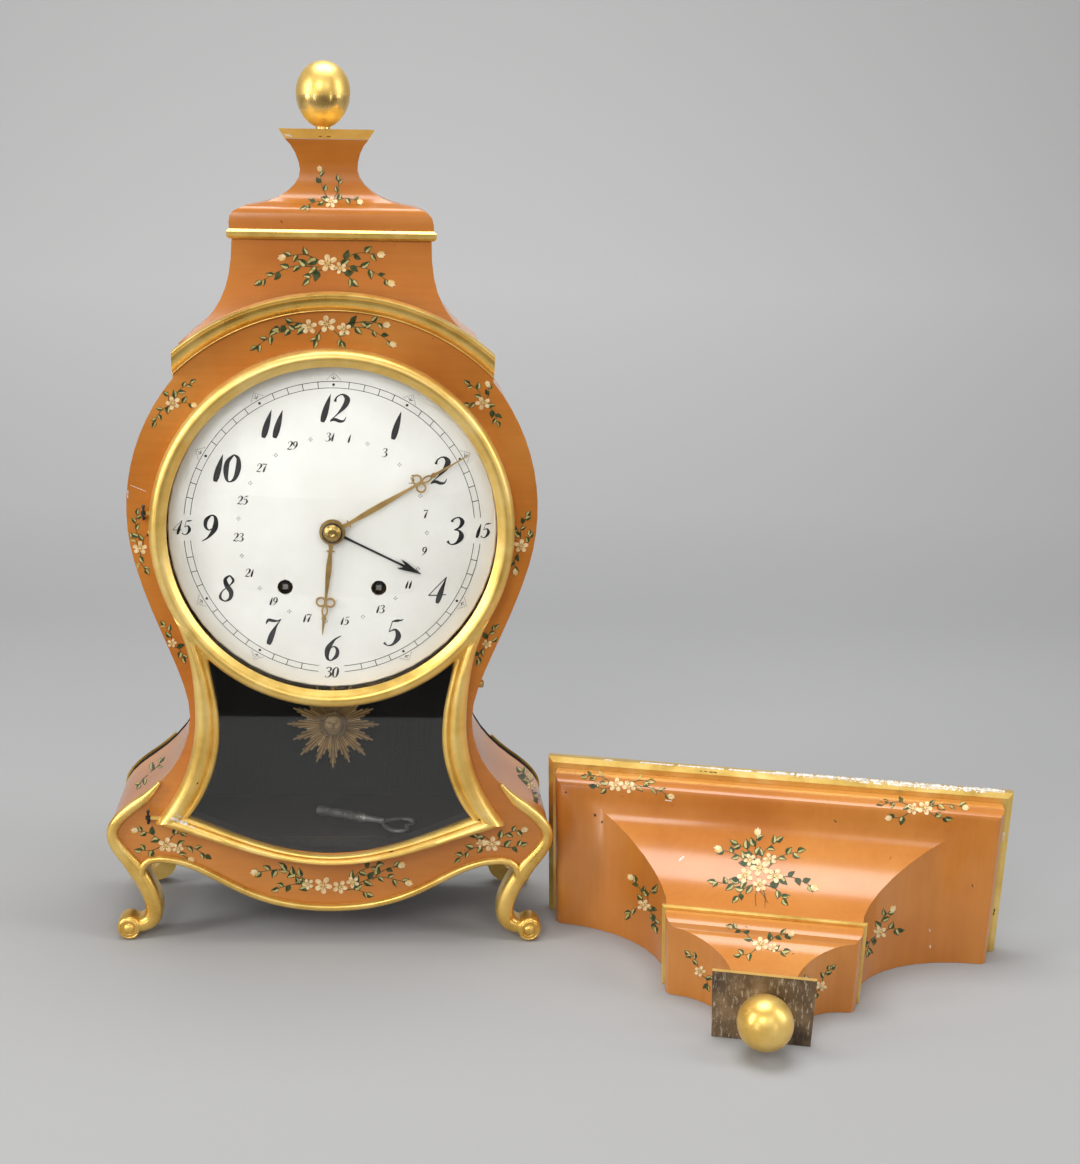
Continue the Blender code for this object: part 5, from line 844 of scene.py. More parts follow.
def leg_line():
    """Middle line and widths of the front right leg, and how many of its points lie on the panel."""
    fall = (HIP[0] - BELLY[0], HIP[1] - BELLY[1])
    way = atan2(-fall[1], -fall[0]) + radians(14)
    edge = bezier(WAIST, (WAIST[0], WAIST[1] - 0.029), polar(HIP, -0.026, way), HIP, 28)
    edge += bezier(HIP, polar(HIP, 0.013, way), (BELLY[0], BELLY[1] + 0.012), BELLY, 14)[1:]
    knee_way = atan2(KNEE[1] - BELLY[1], KNEE[0] - BELLY[0])
    edge += bezier(BELLY, (BELLY[0], BELLY[1] - 0.012), polar(KNEE, -0.012, knee_way), KNEE, 14)[1:]
    edge = [p for p in edge if p[1] <= EDGING_START_Z]
    run = 0.0
    middle = []
    widths = []
    for i, (point, side) in enumerate(zip(edge, path_sides(edge))):
        if i:
            run += hypot(point[0] - edge[i - 1][0], point[1] - edge[i - 1][1])
        grown = 0.002 + 0.0065 * min(run / 0.020, 1)
        below = max(BELLY[1] - point[1], 0) / (BELLY[1] - KNEE[1])
        width = grown + below * (LEG_WIDTH - 0.0085) * 0.8
        inset = width / 2 - 0.0015
        middle.append((point[0] - side[0] * inset, point[1] - side[1] * inset))
        widths.append(width)
    start = middle[-1]
    way = atan2(start[1] - middle[-2][1], start[0] - middle[-2][0])
    lower = bezier(start, polar(start, 0.022, way), (FOOT[0] - 0.031, FOOT[1] * 0.9), FOOT, 27)[1:]
    for i in range(len(lower)):
        widths.append(LEG_WIDTH * (1 - 0.25 * max(0, (i + 1) / 27 - 0.67) / 0.33))
    return middle + lower, widths, len(middle) + 1


def build_legs():
    path, widths, thin = leg_line()
    backs = [EDGING_BACK] * thin + [LEG_DEPTH] * (len(path) - thin)
    curl = []
    for i in range(37):
        radius = 0.0080 - 0.0031 * i / 36
        x, z = polar(FOOT, radius, radians(-150 + 13 * i))
        curl.append((x, SCROLL_FRONT, z))
    for name, side, rear in (("front_left", -1, 0), ("front_right", 1, 0), ("rear_left", -1, 1),
                             ("rear_right", 1, 1)):
        place = Matrix.Diagonal((side, -1 if rear else 1, 1, 1))
        place.translation = (0, CASE_DEPTH if rear else 0, 0)
        bm = bmesh.new()
        round_moulding(bm, path, widths, backs, EDGING_FRONT, place)
        lathe(bm, SCROLL_DISC, 40, place @ facing(*FOOT))
        tube(bm, [place @ Vector(p) for p in curl], SCROLL_WIRE)
        piece(f"scroll_leg_{name}", bm, [GILT], "case", "gilt", f"leg_{name}")

    rise = APRON_WIDTH / 2
    half = bezier((0, 0.0225), (0.075, 0.0225), (0.090, 0.0615), (0.131, 0.0615), 28)
    half = [(x + n[0] * rise, z + n[1] * rise) for (x, z), n in zip(half, path_sides(half))]
    half += [(0.1370, 0.0632), (0.1410, 0.0606), (0.1435, 0.0560), (0.1440, 0.0510)]
    path = mirrored(half)
    count = len(path)
    bm = bmesh.new()
    round_moulding(bm, path, [APRON_WIDTH] * count, [EDGING_BACK] * count, EDGING_FRONT, Matrix())
    piece("apron_moulding", bm, [GILT], "case", "gilt", "apron_edging")


build_legs()


# Turned egg of the finial and ball of the bracket

EGG_AT = (-0.0104, 0.063)
EGG_BASE_Z = 0.6110
EGG_STAND = 0.003
EGG_HEIGHT = 0.0459
EGG_RADIUS = 0.020
EGG_SWELL = 0.12
BALL_RADIUS = 0.01918
BALL_NECK = 0.008
BALL_START = 0.1960
BALL_Z = 0.02425


def build_turnings():
    base = EGG_BASE_Z
    egg = base + EGG_STAND
    profile = [(0, base), (0.0055, base), (FINIAL_NECK, egg - 0.0006), (FINIAL_NECK, egg + 0.0004)]
    for i in range(5, 36):
        turn = pi * i / 36
        swell = sqrt(1 + EGG_SWELL * cos(turn))
        profile.append((EGG_RADIUS * sin(turn) * swell, egg + EGG_HEIGHT * (1 - cos(turn)) / 2))
    profile.append((0, egg + EGG_HEIGHT))
    bm = bmesh.new()
    lathe(bm, profile, 56, Matrix.Translation((*EGG_AT, 0)))
    piece("egg_finial", bm, [GILT_MATT], "case", "gilt", "finial")

    middle = BALL_START + 0.0010 + BALL_RADIUS
    neck = asin(BALL_NECK / BALL_RADIUS)
    profile = [(0, BALL_START), (BALL_NECK, BALL_START)]
    for i in range(33):
        turn = neck + (pi - neck) * i / 32
        radius = BALL_RADIUS * sin(turn) if i < 32 else 0
        profile.append((radius, middle - BALL_RADIUS * cos(turn)))
    bm = bmesh.new()
    lathe(bm, profile, 56, facing(0, BALL_Z))
    bm.transform(TURNED)
    piece("ball_knop", bm, [GILT_BRIGHT], "bracket", "gilt", "bracket_ball", at=AT_BRACKET)


build_turnings()


# Hands

HAND_THICK = 0.0010
LOOP_AT = 0.0034
LOOP_OUTER = 0.0039
LOOP_INNER = 0.0025

# Half width and distance along the date hand's arrow head
DATE_BARB = [(0.0009, 0.0592), (0.0036, 0.0548), (0.0031, 0.0598), (0.0018, 0.0650), (0.0009, 0.0695),
             (0, 0.073)]
NUT_SHAPE = [(0, 0.0130), (0.0075, 0.0130), (0.0075, 0.0138), (0.0069, 0.0142), (0.0064, 0.0140),
             (0.0060, 0.0143), (0.0055, 0.0152), (0.0044, 0.0160), (0.0030, 0.0164), (0.0016, 0.01645),
             (0.0013, 0.0162), (0, 0.0162)]
NUT_RIM = 0.0064


def on_hand(u, v, reading, front, lean, power=1):
    """Point of a hand: u across, v along; hands lean back beyond the boss, and a power of two bends them."""
    x = u * cos(reading) + v * sin(reading)
    z = v * cos(reading) - u * sin(reading)
    reach = max(0, hypot(u, v) - HOUR_BOSS)
    return Vector((x, front + lean * DIAL_RISE * (reach / DIAL_RADIUS) ** power, DIAL_Z + z))


def plate(bm, outline, spot, hole=None):
    """Flat plate with one hole at most; spot places its (u, v) points."""
    back = Vector((0, HAND_THICK, 0))
    rows = []
    loops = [outline] if hole is None else [outline, hole]
    for loop in loops:
        front_row = [bm.verts.new(spot(*p)) for p in loop]
        back_row = [bm.verts.new(spot(*p) + back) for p in loop]
        bridge(bm, front_row, back_row)
        rows.append((front_row, back_row))
    if hole is None:
        bm.faces.new(rows[0][0])
        bm.faces.new(rows[0][1][::-1])
    else:
        bridge(bm, rows[0][0], rows[1][0])
        bridge(bm, rows[0][1], rows[1][1])


def oval(u, v, half_u, half_v, count=28):
    turns = [2 * pi * i / count for i in range(count)]
    return [(u + half_u * cos(turn), v + half_v * sin(turn)) for turn in turns]


def both_sides(half):
    return [(-u, v) for u, v in reversed(half) if u > 0] + half


def brass_hand(name, length, boss, eye, reading, front, lean, loops_at, body, node):
    """Hand with a collared neck, a long lozenge, two ring loops with an oval above, and a needle tip."""
    bm = bmesh.new()

    def spot(u, v):
        return on_hand(u, v, reading, front, lean)

    plate(bm, oval(0, 0, boss, boss, 48), spot, oval(0, 0, eye, eye, 48))
    foot = boss - 0.0006
    loop = length * loops_at
    spine = [(0.0021, foot), (0.0013, foot + 0.0045), (0.0012, foot + 0.0060),
             (0.0021, foot + (loop - foot) * 0.42), (0.0011, loop - 0.0080), (0.0010, loop - 0.0030)]
    plate(bm, both_sides(smooth_path(spine, 6) + [(0, loop - 0.0024)]), spot)
    collar = foot + 0.0055
    plate(bm, both_sides([(0.0022, collar - 0.0006), (0.0033, collar), (0.0022, collar + 0.0006)]), spot)
    for side in (-1, 1):
        hole = oval(side * LOOP_AT, loop, LOOP_INNER, LOOP_INNER)
        plate(bm, oval(side * LOOP_AT, loop, LOOP_OUTER, LOOP_OUTER), spot, hole)
    top = loop + 0.0066
    plate(bm, oval(0, top, 0.0025, 0.0044), spot, oval(0, top, 0.0012, 0.0030))
    plate(bm, oval(0, loop + 0.0005, 0.0013, 0.0028), spot)
    start = top + 0.0038
    needle = [(0.0010, start), (0.0019, start + 0.0020), (0.0010, start + 0.0045), (0.0009, start + 0.0075),
              (0.0002, length)]
    plate(bm, both_sides(smooth_path(needle, 5)), spot)
    piece(name, bm, [HAND_BRASS], body, "brass", node)


def build_hands():
    brass_hand("minute_pointer", 0.115, 0.009, 0.0027, MINUTE_READING, MINUTE_Y, 1.073, 0.63, "minute",
               "minute_hand")
    brass_hand("hour_pointer", 0.079, 0.0095, 0.0040, HOUR_READING, HOUR_Y, 0.80, 0.68, "hour", "hour_hand")

    bm = bmesh.new()

    def spot(u, v):
        return on_hand(u, v, DATE_READING, DATE_Y, 1, 2)

    plate(bm, oval(0, 0, 0.0075, 0.0075, 40), spot, oval(0, 0, 0.0040, 0.0040, 40))
    plate(bm, both_sides([(0.0011, 0.0070), (0.0007, 0.020), (0.0007, 0.0585), (0.0007, 0.0600)]), spot)
    plate(bm, both_sides(DATE_BARB), spot)
    lathe(bm, [(0.0040, 0.0063), (0.0051, 0.0063), (0.0051, 0.0030), (0.0040, 0.0030)], 32, facing(0, DIAL_Z),
          hollow=True)
    piece("date_pointer", bm, [DARK_STEEL], "date_hand", "dark_steel", "date_hand")

    bm = bmesh.new()
    lathe(bm, NUT_SHAPE, 40, facing(0, DIAL_Z))
    for face in bm.faces:
        spot = face.calc_center_median()
        if hypot(spot.x, spot.z - DIAL_Z) > NUT_RIM:
            face.material_index = 1
    piece("nut_dome", bm, [BRASS, DARK_STEEL], "minute", "brass", "hand_nut", angle=50)


build_hands()


# Dial markings

INK_LIFT = 0.00012
INK_SINK = -0.0001
HOUR_RING = 0.0900
HOUR_HEIGHT = 0.0203
TRACK_INNER = 0.1046
TRACK_OUTER = 0.1093
TRACK_LINE = 0.0004
QUARTER_GAP = 5.2
CREST_START = 0.1108
CREST_RISE = 0.0046
DATE_RING = 0.0692
DATE_START = 9.6
DATE_HEIGHT = 0.0063
DATE_DOT_APART = 0.0011

# Strokes of each figure: across, up and width, all in shares of its height
DIGITS = {
    "0": [[(0.33, 0.99, 0.05), (0.15, 0.75, 0.16), (0.13, 0.45, 0.20), (0.20, 0.12, 0.12), (0.33, 0.01, 0.05),
           (0.50, 0.15, 0.14), (0.56, 0.52, 0.20), (0.50, 0.86, 0.13), (0.33, 0.99, 0.05)]],
    "1": [[(0.33, 1.0, 0.01), (0.29, 0.72, 0.14), (0.25, 0.42, 0.22), (0.22, 0.15, 0.21), (0.20, 0.0, 0.13)]],
    "2": [[(0.13, 0.73, 0.10), (0.17, 0.90, 0.05), (0.36, 0.99, 0.06), (0.55, 0.83, 0.20), (0.50, 0.58, 0.17),
           (0.28, 0.28, 0.05), (0.08, 0.07, 0.03)],
          [(0.07, 0.03, 0.03), (0.22, 0.10, 0.11), (0.42, 0.04, 0.11), (0.56, 0.06, 0.06),
           (0.62, 0.20, 0.02)]],
    "3": [[(0.13, 0.84, 0.10), (0.20, 0.95, 0.05), (0.38, 0.99, 0.06), (0.52, 0.84, 0.16), (0.46, 0.64, 0.09),
           (0.27, 0.54, 0.03)],
          [(0.27, 0.54, 0.03), (0.47, 0.50, 0.08), (0.58, 0.28, 0.20), (0.44, 0.05, 0.09), (0.24, 0.01, 0.04),
           (0.10, 0.13, 0.10)]],
    "4": [[(0.56, 1.0, 0.03), (0.30, 0.68, 0.03), (0.02, 0.31, 0.03)],
          [(0.01, 0.31, 0.04), (0.35, 0.31, 0.04), (0.66, 0.33, 0.03)],
          [(0.56, 1.0, 0.02), (0.50, 0.70, 0.10), (0.44, 0.38, 0.20), (0.40, 0.12, 0.18), (0.38, 0.0, 0.10)]],
    "5": [[(0.24, 0.95, 0.04), (0.40, 0.97, 0.10), (0.56, 0.99, 0.05), (0.63, 1.04, 0.01)],
          [(0.24, 0.96, 0.03), (0.18, 0.54, 0.03)],
          [(0.18, 0.54, 0.03), (0.40, 0.62, 0.09), (0.55, 0.36, 0.21), (0.42, 0.07, 0.10), (0.22, 0.01, 0.04),
           (0.07, 0.12, 0.10)]],
    "6": [[(0.58, 0.98, 0.03), (0.36, 0.82, 0.08), (0.18, 0.48, 0.20), (0.20, 0.14, 0.13), (0.35, 0.01, 0.05),
           (0.53, 0.18, 0.14), (0.53, 0.42, 0.12), (0.39, 0.56, 0.05), (0.26, 0.48, 0.03)]],
    "7": [[(0.08, 0.80, 0.03), (0.14, 0.95, 0.11), (0.32, 0.93, 0.11), (0.48, 0.93, 0.06), (0.60, 1.0, 0.03)],
          [(0.60, 1.0, 0.02), (0.46, 0.72, 0.08), (0.36, 0.40, 0.20), (0.31, 0.12, 0.20), (0.29, 0.0, 0.13)]],
    "8": [[(0.36, 0.99, 0.05), (0.22, 0.84, 0.12), (0.30, 0.62, 0.18), (0.50, 0.36, 0.18), (0.50, 0.12, 0.12),
           (0.33, 0.01, 0.05), (0.14, 0.14, 0.10), (0.18, 0.38, 0.05), (0.40, 0.60, 0.04), (0.52, 0.80, 0.09),
           (0.36, 0.99, 0.05)]],
}
DIGITS["9"] = [[(0.68 - x, 1 - y, w) for x, y, w in DIGITS["6"][0]]]
ADVANCE = {"1": 0.40}
SLANT = 0.16


def dial_y(x, z):
    """Front of the swelling dial at a point measured from its centre."""
    return DIAL_SETBACK - DIAL_RISE * (1 - (hypot(x, z) / DIAL_RADIUS) ** 2)


def on_dial(x, z, lift):
    return (x, dial_y(x, z) - lift, DIAL_Z + z)


def dial_ribbon(bm, path):
    """Thin inked stroke on the dial along (x, z, width) points."""
    rings = []
    for (x, z, width), side in zip(path, path_sides(path)):
        half = max(width, 0.00012) / 2
        a = (x + side[0] * half, z + side[1] * half)
        b = (x - side[0] * half, z - side[1] * half)
        corners = ((a, INK_LIFT), (b, INK_LIFT), (b, INK_SINK), (a, INK_SINK))
        rings.append([on_dial(*spot, lift) for spot, lift in corners])
    loft(bm, rings)


def dial_dot(bm, x, z, radius, count=10):
    ring = [polar((x, z), radius, 2 * pi * i / count) for i in range(count)]
    loft(bm, [[on_dial(*p, lift) for p in ring] for lift in (INK_LIFT, INK_SINK)])


def dial_number(bm, text, x, z, height):
    widths = [ADVANCE.get(c, 0.62) for c in text]
    start = x - sum(widths) * height / 2 - SLANT * height / 2
    for c, width in zip(text, widths):
        for stroke in DIGITS[c]:
            path = smooth_path(stroke, 7)
            dial_ribbon(bm, [(start + (u + SLANT * v) * height, z + (v - 0.5) * height, w * height)
                             for u, v, w in path])
        start += width * height


def at_reading(radius, degrees):
    turn = radians(degrees)
    return radius * sin(turn), radius * cos(turn)


def build_markings():
    bm = bmesh.new()
    for hour in range(1, 13):
        dial_number(bm, str(hour), *at_reading(HOUR_RING, hour * 30), HOUR_HEIGHT)
    dial_number(bm, "30", *at_reading(0.1095, 180), 0.0084)
    dial_number(bm, "15", *at_reading(0.1105, 90), 0.0108)
    dial_number(bm, "45", *at_reading(0.1105, 270), 0.0108)
    piece("hour_figures", bm, [INK], "case", "enamel")

    bm = bmesh.new()
    for radius in (TRACK_OUTER, TRACK_INNER):
        for quarter in range(4):
            first = quarter * 90 + (QUARTER_GAP if quarter else 0)
            last = quarter * 90 + 90 - (QUARTER_GAP if quarter < 3 else 0)
            path = [(*at_reading(radius, first + (last - first) * i / 40), TRACK_LINE) for i in range(41)]
            dial_ribbon(bm, path)
    for minute in range(60):
        angle = minute * 6
        if minute in (15, 30, 45):
            continue
        if minute % 5:
            ends = [(*at_reading(radius, angle), 0.0005) for radius in (TRACK_INNER, TRACK_OUTER)]
            if minute not in (14, 16, 29, 31, 44, 46):
                dial_ribbon(bm, ends)
            continue
        dial_dot(bm, *at_reading((TRACK_INNER + TRACK_OUTER) / 2, angle), 0.0010, 14)
        for i in range(6):
            share = i / 5
            for side in (-1, 1):
                spot = at_reading(CREST_START + CREST_RISE * share, angle + side * 2.5 * (1 - share))
                dial_dot(bm, *spot, 0.00032, 8)
        stem = [(*at_reading(radius, angle), TRACK_LINE) for radius in (0.1106, 0.1136)]
        dial_ribbon(bm, stem)
        for side in (-1, 1):
            leaf = [(*at_reading(CREST_START, angle), 0.0003),
                    (*at_reading(0.1122, angle + side * 0.9), 0.0005)]
            dial_ribbon(bm, leaf)
    piece("minute_track", bm, [INK], "case", "enamel")

    bm = bmesh.new()
    for day in range(1, 32):
        x, z = at_reading(DATE_RING, DATE_START + (day - 1) * 360 / 31)
        if day % 2:
            dial_number(bm, str(day), x, z, DATE_HEIGHT)
            continue
        for dx, dz in ((1, 0), (-1, 0), (0, 1), (0, -1)):
            dial_dot(bm, x + dx * DATE_DOT_APART, z + dz * DATE_DOT_APART, 0.00042, 8)
    piece("date_figures", bm, [INK], "case", "enamel")


build_markings()


# Dark sheet on the wall of the keyhole opening below the bezel: painted shade

SHADE_SHEET_GROW = 0.0016
SHADE_SHEET_THICK = 0.0003
SHADE_SHEET_FRONT = 0.0002
SHADE_SHEET_BACK = 0.0117


def build_lining():
    path = mirrored(window_foot(SHADE_SHEET_GROW) + window_side(SHADE_SHEET_GROW, 16, 12)[1:])
    bm = bmesh.new()
    rings = []
    for (x, z), (nx, nz) in zip(path, path_sides(path)):
        u, w = x + nx * SHADE_SHEET_THICK, z + nz * SHADE_SHEET_THICK
        rings.append([(x, SHADE_SHEET_FRONT, z), (u, SHADE_SHEET_FRONT, w), (u, SHADE_SHEET_BACK, w), (x, SHADE_SHEET_BACK, z)])
    loft(bm, rings)
    piece("opening_shade", bm, [SHADE_BLACK_WOOD], "case", "bare_wood")


build_lining()


# Sunburst bob with a small calm mask

BOB_Z = 0.146
BOB_FLAT = 0.0795
BOB_BACK = 0.0806
BOB_DISC = [(0, -0.0820), (0.0215, -0.0820), (0.0215, -0.0808), (0, -0.0808)]
RAY_GROUPS = 16
RAY_REACH = (0.0366, 0.0345)
RAY_SHARES = (1, 0.90, 0.77, 0.64)
RAY_APART = radians(3.0)
RAY_HALF = radians(1.42)
RAY_BLUNT = 0.0012
MASK_HALF = (0.0076, 0.0088)
MASK_RELIEF = 0.00115
MASK_RINGS = 26
MASK_SIDES = 52
LOCKS = 22
LOCK_SPREAD = (radians(-62), radians(304))
LOCK_WIRE = 0.00075
# Bob paints: gilt rays; painted shade in darker brasses for the mask's hollows and rim, every other ray with
# the mask's face, and the hair
BOB_RAY, BOB_HOLLOW_SHADE, BOB_PAINTED_SHADE, BOB_HAIR_SHADE = range(4)


def bump_at(u, v, u0, v0, wide, high):
    return exp(-((u - u0) / wide) ** 2 - ((v - v0) / high) ** 2)


def mask_height(u, v):
    """Relief of a plain face over an oval of half size one."""
    height = 2.6 * sqrt(max(0.0, 1 - u * u - v * v)) + 0.25
    height += 1.00 * bump_at(u, v, 0, 0.02, 0.085, 0.26) + 0.75 * bump_at(u, v, 0, -0.20, 0.12, 0.09)
    height += 0.35 * bump_at(u, v, 0, -0.46, 0.20, 0.045) + 0.38 * bump_at(u, v, 0, -0.57, 0.15, 0.05)
    height += 0.38 * bump_at(u, v, 0, -0.80, 0.17, 0.10)
    for side in (-1, 1):
        height += 0.60 * bump_at(u, v, side * 0.36, 0.34, 0.24, 0.07)
        height -= 1.10 * bump_at(u, v, side * 0.35, 0.16, 0.20, 0.12)
        height += 0.75 * bump_at(u, v, side * 0.35, 0.14, 0.11, 0.055)
        height += 0.28 * bump_at(u, v, side * 0.44, -0.22, 0.20, 0.18)
        height += 0.22 * bump_at(u, v, side * 0.13, -0.23, 0.06, 0.05)
    return height


def build_mask(bm):
    """Face in relief in a mid brass as painted shade, with darker painted shade in its eye, mouth and nostril
    hollows and round its edge.
    """
    wide, high = MASK_HALF
    rows = []
    for i in range(MASK_RINGS + 1):
        row = []
        for k in range(MASK_SIDES if i else 1):
            u, v = polar((0, 0), i / MASK_RINGS, 2 * pi * k / MASK_SIDES)
            row.append(bm.verts.new((u * wide, BOB_FLAT - mask_height(u, v) * MASK_RELIEF, BOB_Z + v * high)))
        rows.append(row if i else row * MASK_SIDES)
    rows.append([bm.verts.new((v.co.x, BOB_BACK, v.co.z)) for v in rows[-1]])
    plain = len(bm.faces)
    for first, second in zip(rows, rows[1:]):
        bridge(bm, first, second)
    bm.faces.new(rows[-1])
    bm.faces.ensure_lookup_table()
    for face in bm.faces[plain:]:
        spot = face.calc_center_median()
        u, v = spot.x / wide, (spot.z - BOB_Z) / high
        lid = bump_at(abs(u), v, 0.35, 0.20, 0.22, 0.12) - bump_at(abs(u), v, 0.35, 0.14, 0.12, 0.06)
        lips = bump_at(u, v, 0, -0.515, 0.24, 0.035)
        nostril = bump_at(abs(u), v, 0.17, -0.30, 0.10, 0.05)
        dark = max(lid, lips, nostril) > 0.40 or hypot(u, v) > 0.97
        face.material_index = BOB_HOLLOW_SHADE if dark else BOB_PAINTED_SHADE


def build_bob():
    bm = bmesh.new()
    at = facing(0, BOB_Z)
    lathe(bm, BOB_DISC, 48, at)
    for group in range(RAY_GROUPS):
        reach = RAY_REACH[group % 2]
        for k in range(-3, 4):
            angle = pi / 2 + 2 * pi * group / RAY_GROUPS + RAY_APART * k
            end = reach * RAY_SHARES[abs(k)]
            ridge = BOB_FLAT - 0.0004 + 0.0002 * abs(k)
            rings = []
            for radius, share, drop in ((0.006, 1, 0), (end - RAY_BLUNT, 1, 0), (end, 0.6, RAY_BLUNT / 2)):
                half = radius * RAY_HALF * share
                side = (-sin(angle) * half, cos(angle) * half)
                x, z = polar((0, BOB_Z), radius, angle)
                rings.append([(x - side[0], BOB_BACK, z - side[1]), (x, ridge + drop, z),
                              (x + side[0], BOB_BACK, z + side[1]), (x, BOB_BACK + 0.0007, z)])
            first = len(bm.faces)
            loft(bm, rings)
            # Every other ray takes a darker brass, painted shade for a shaded flank
            colour_from(bm, first, BOB_PAINTED_SHADE if k % 2 else BOB_RAY)
    build_mask(bm)
    first = len(bm.faces)
    for k in range(LOCKS):
        angle = LOCK_SPREAD[0] + LOCK_SPREAD[1] * k / (LOCKS - 1)
        lock = []
        for i in range(9):
            t = i / 8
            x, z = polar((0, 0), 0.0078 + 0.0034 * t, angle + 0.16 * sin(2 * pi * t))
            lock.append((x * 0.94, BOB_FLAT - 0.0009 - 0.0006 * sin(pi * t), BOB_Z + z * 1.06))
        tube(bm, lock, LOCK_WIRE, 8)
    # The hair locks take a darker brass as painted shade
    colour_from(bm, first, BOB_HAIR_SHADE)
    piece("sunburst_bob", bm, [GILT_BRASS, DARK_BRASS, MID_BRASS, HAIR_BRASS], "pendulum", "gilt_brass",
          "pendulum_bob", angle=30)


build_bob()


# Winding key on the case floor

KEY_AT = (0.0155, 0.045, 0.0823)
KEY_TURN = radians(-24)
KEY_WIRE = 0.0015
KEY_BEADS = 9
BEAD_APART = 0.0018
WORN_MIDDLE = 0.0035
WORN_HALF = 0.0085

# Pipe, from its hollow end to the beads, and the shank behind them: radius, and place along the key
KEY_PIPE = [(0, -0.0190), (0.0022, -0.0190), (0.0024, -0.0290), (0.0036, -0.0290), (0.0040, -0.0285),
            (0.0040, -0.0205), (0.0036, -0.0200), (0.0035, -0.0192), (0.0038, -0.0186), (0.0037, -0.0060)]
KEY_SHANK = [(0.0030, 0.0130), (0.0026, 0.0180), (0.0023, 0.0240), (0.0025, 0.0285), (0, 0.0290)]
KEY_BOW = [(0.0265, 0.0004), (0.0330, 0.0085), (0.0400, 0.0130), (0.0478, 0.0118), (0.0505, 0.0060),
           (0.0470, 0.0006)]


def build_key():
    place = Matrix.Translation(KEY_AT) @ Matrix.Rotation(KEY_TURN, 4, "Z")
    bm = bmesh.new()
    profile = list(KEY_PIPE)
    for i in range(KEY_BEADS):
        start = -0.0055 + BEAD_APART * i
        profile += [(0.0032, start), (0.0039, start + 0.0005), (0.0039, start + 0.0011),
                    (0.0032, start + 0.0016)]
    profile += KEY_SHANK
    lathe(bm, profile, 28, place @ Matrix.Rotation(pi / 2, 4, "Y"))
    heart = smooth_path(KEY_BOW, 7)
    wire = heart + [(u, -v) for u, v in reversed(heart[:-1])]
    tube(bm, [place @ Vector((u, v, -0.0008)) for u, v in wire], KEY_WIRE, 10)
    for face in bm.faces:
        spot = place.inverted() @ face.calc_center_median()
        if abs(spot.x - WORN_MIDDLE) < WORN_HALF and hypot(spot.y, spot.z) < 0.005:
            face.material_index = 1
    piece("winding_key_wire", bm, [KEY_STEEL, WORN_STEEL], "winding_key", "dark_steel", "winding_key")


build_key()


# Arched cornice with a beaded lip

ARCH_CENTRE_Z = 0.4848 - 0.168
SHOULDER_HALF = 0.116
CORNICE_STEPS = 72
CORNICE_SHAPE = [(0.1660, -0.0003), (0.1660, -0.0022), (0.1664, -0.0030), (0.1669, -0.0029),
                 (0.1674, -0.0038), (0.1684, -0.0056), (0.1700, -0.0074), (0.1720, -0.0087),
                 (0.1744, -0.0095), (0.1757, -0.0096), (0.1761, -0.0101), (0.1769, -0.0108),
                 (0.1778, -0.0110), (0.1786, -0.0106), (0.1790, -0.0097), (0.1790, 0.0120),
                 (0.1683, 0.0120), (0.1683, -0.0003)]


def build_cornice():
    bm = bmesh.new()
    rings = []
    for i in range(CORNICE_STEPS + 1):
        share = 2 * i / CORNICE_STEPS - 1
        ring = []
        for radius, y in CORNICE_SHAPE:
            angle = pi / 2 - share * asin(SHOULDER_HALF / radius)
            x, z = polar((0, ARCH_CENTRE_Z), radius, angle)
            ring.append((x, y, z))
        rings.append(ring)
    loft(bm, rings)
    piece("cornice_moulding", bm, [GILT], "case", "gilt", "arch_cornice")


build_cornice()


# Painted sprays, laid out in photograph pixels and laid on the surface that the camera sees there

PAINT_LIFT = 0.00010
LAYER_LIFT = 0.00006
PAINT_SINK = 0.00005
LONGEST_SHAPE = 0.03
LEAVES_KEPT = 0.75


def surface(thing):
    """Tree of an object's faces in the shared frame."""
    vertices = [thing.matrix_world @ v.co for v in thing.data.vertices]
    return BVHTree.FromPolygons(vertices, [list(face.vertices) for face in thing.data.polygons])


def turned(x, y, angle, u, v):
    """Point u along an angle and v across it from a start."""
    return (x + u * cos(angle) - v * sin(angle), y + u * sin(angle) + v * cos(angle))


def sight(x, y):
    """Direction in which the camera sees a pixel."""
    return (FORWARD * FOCAL_PIXELS + RIGHT * (x - AXIS_X) - UP * (y - AXIS_Y)).normalized()


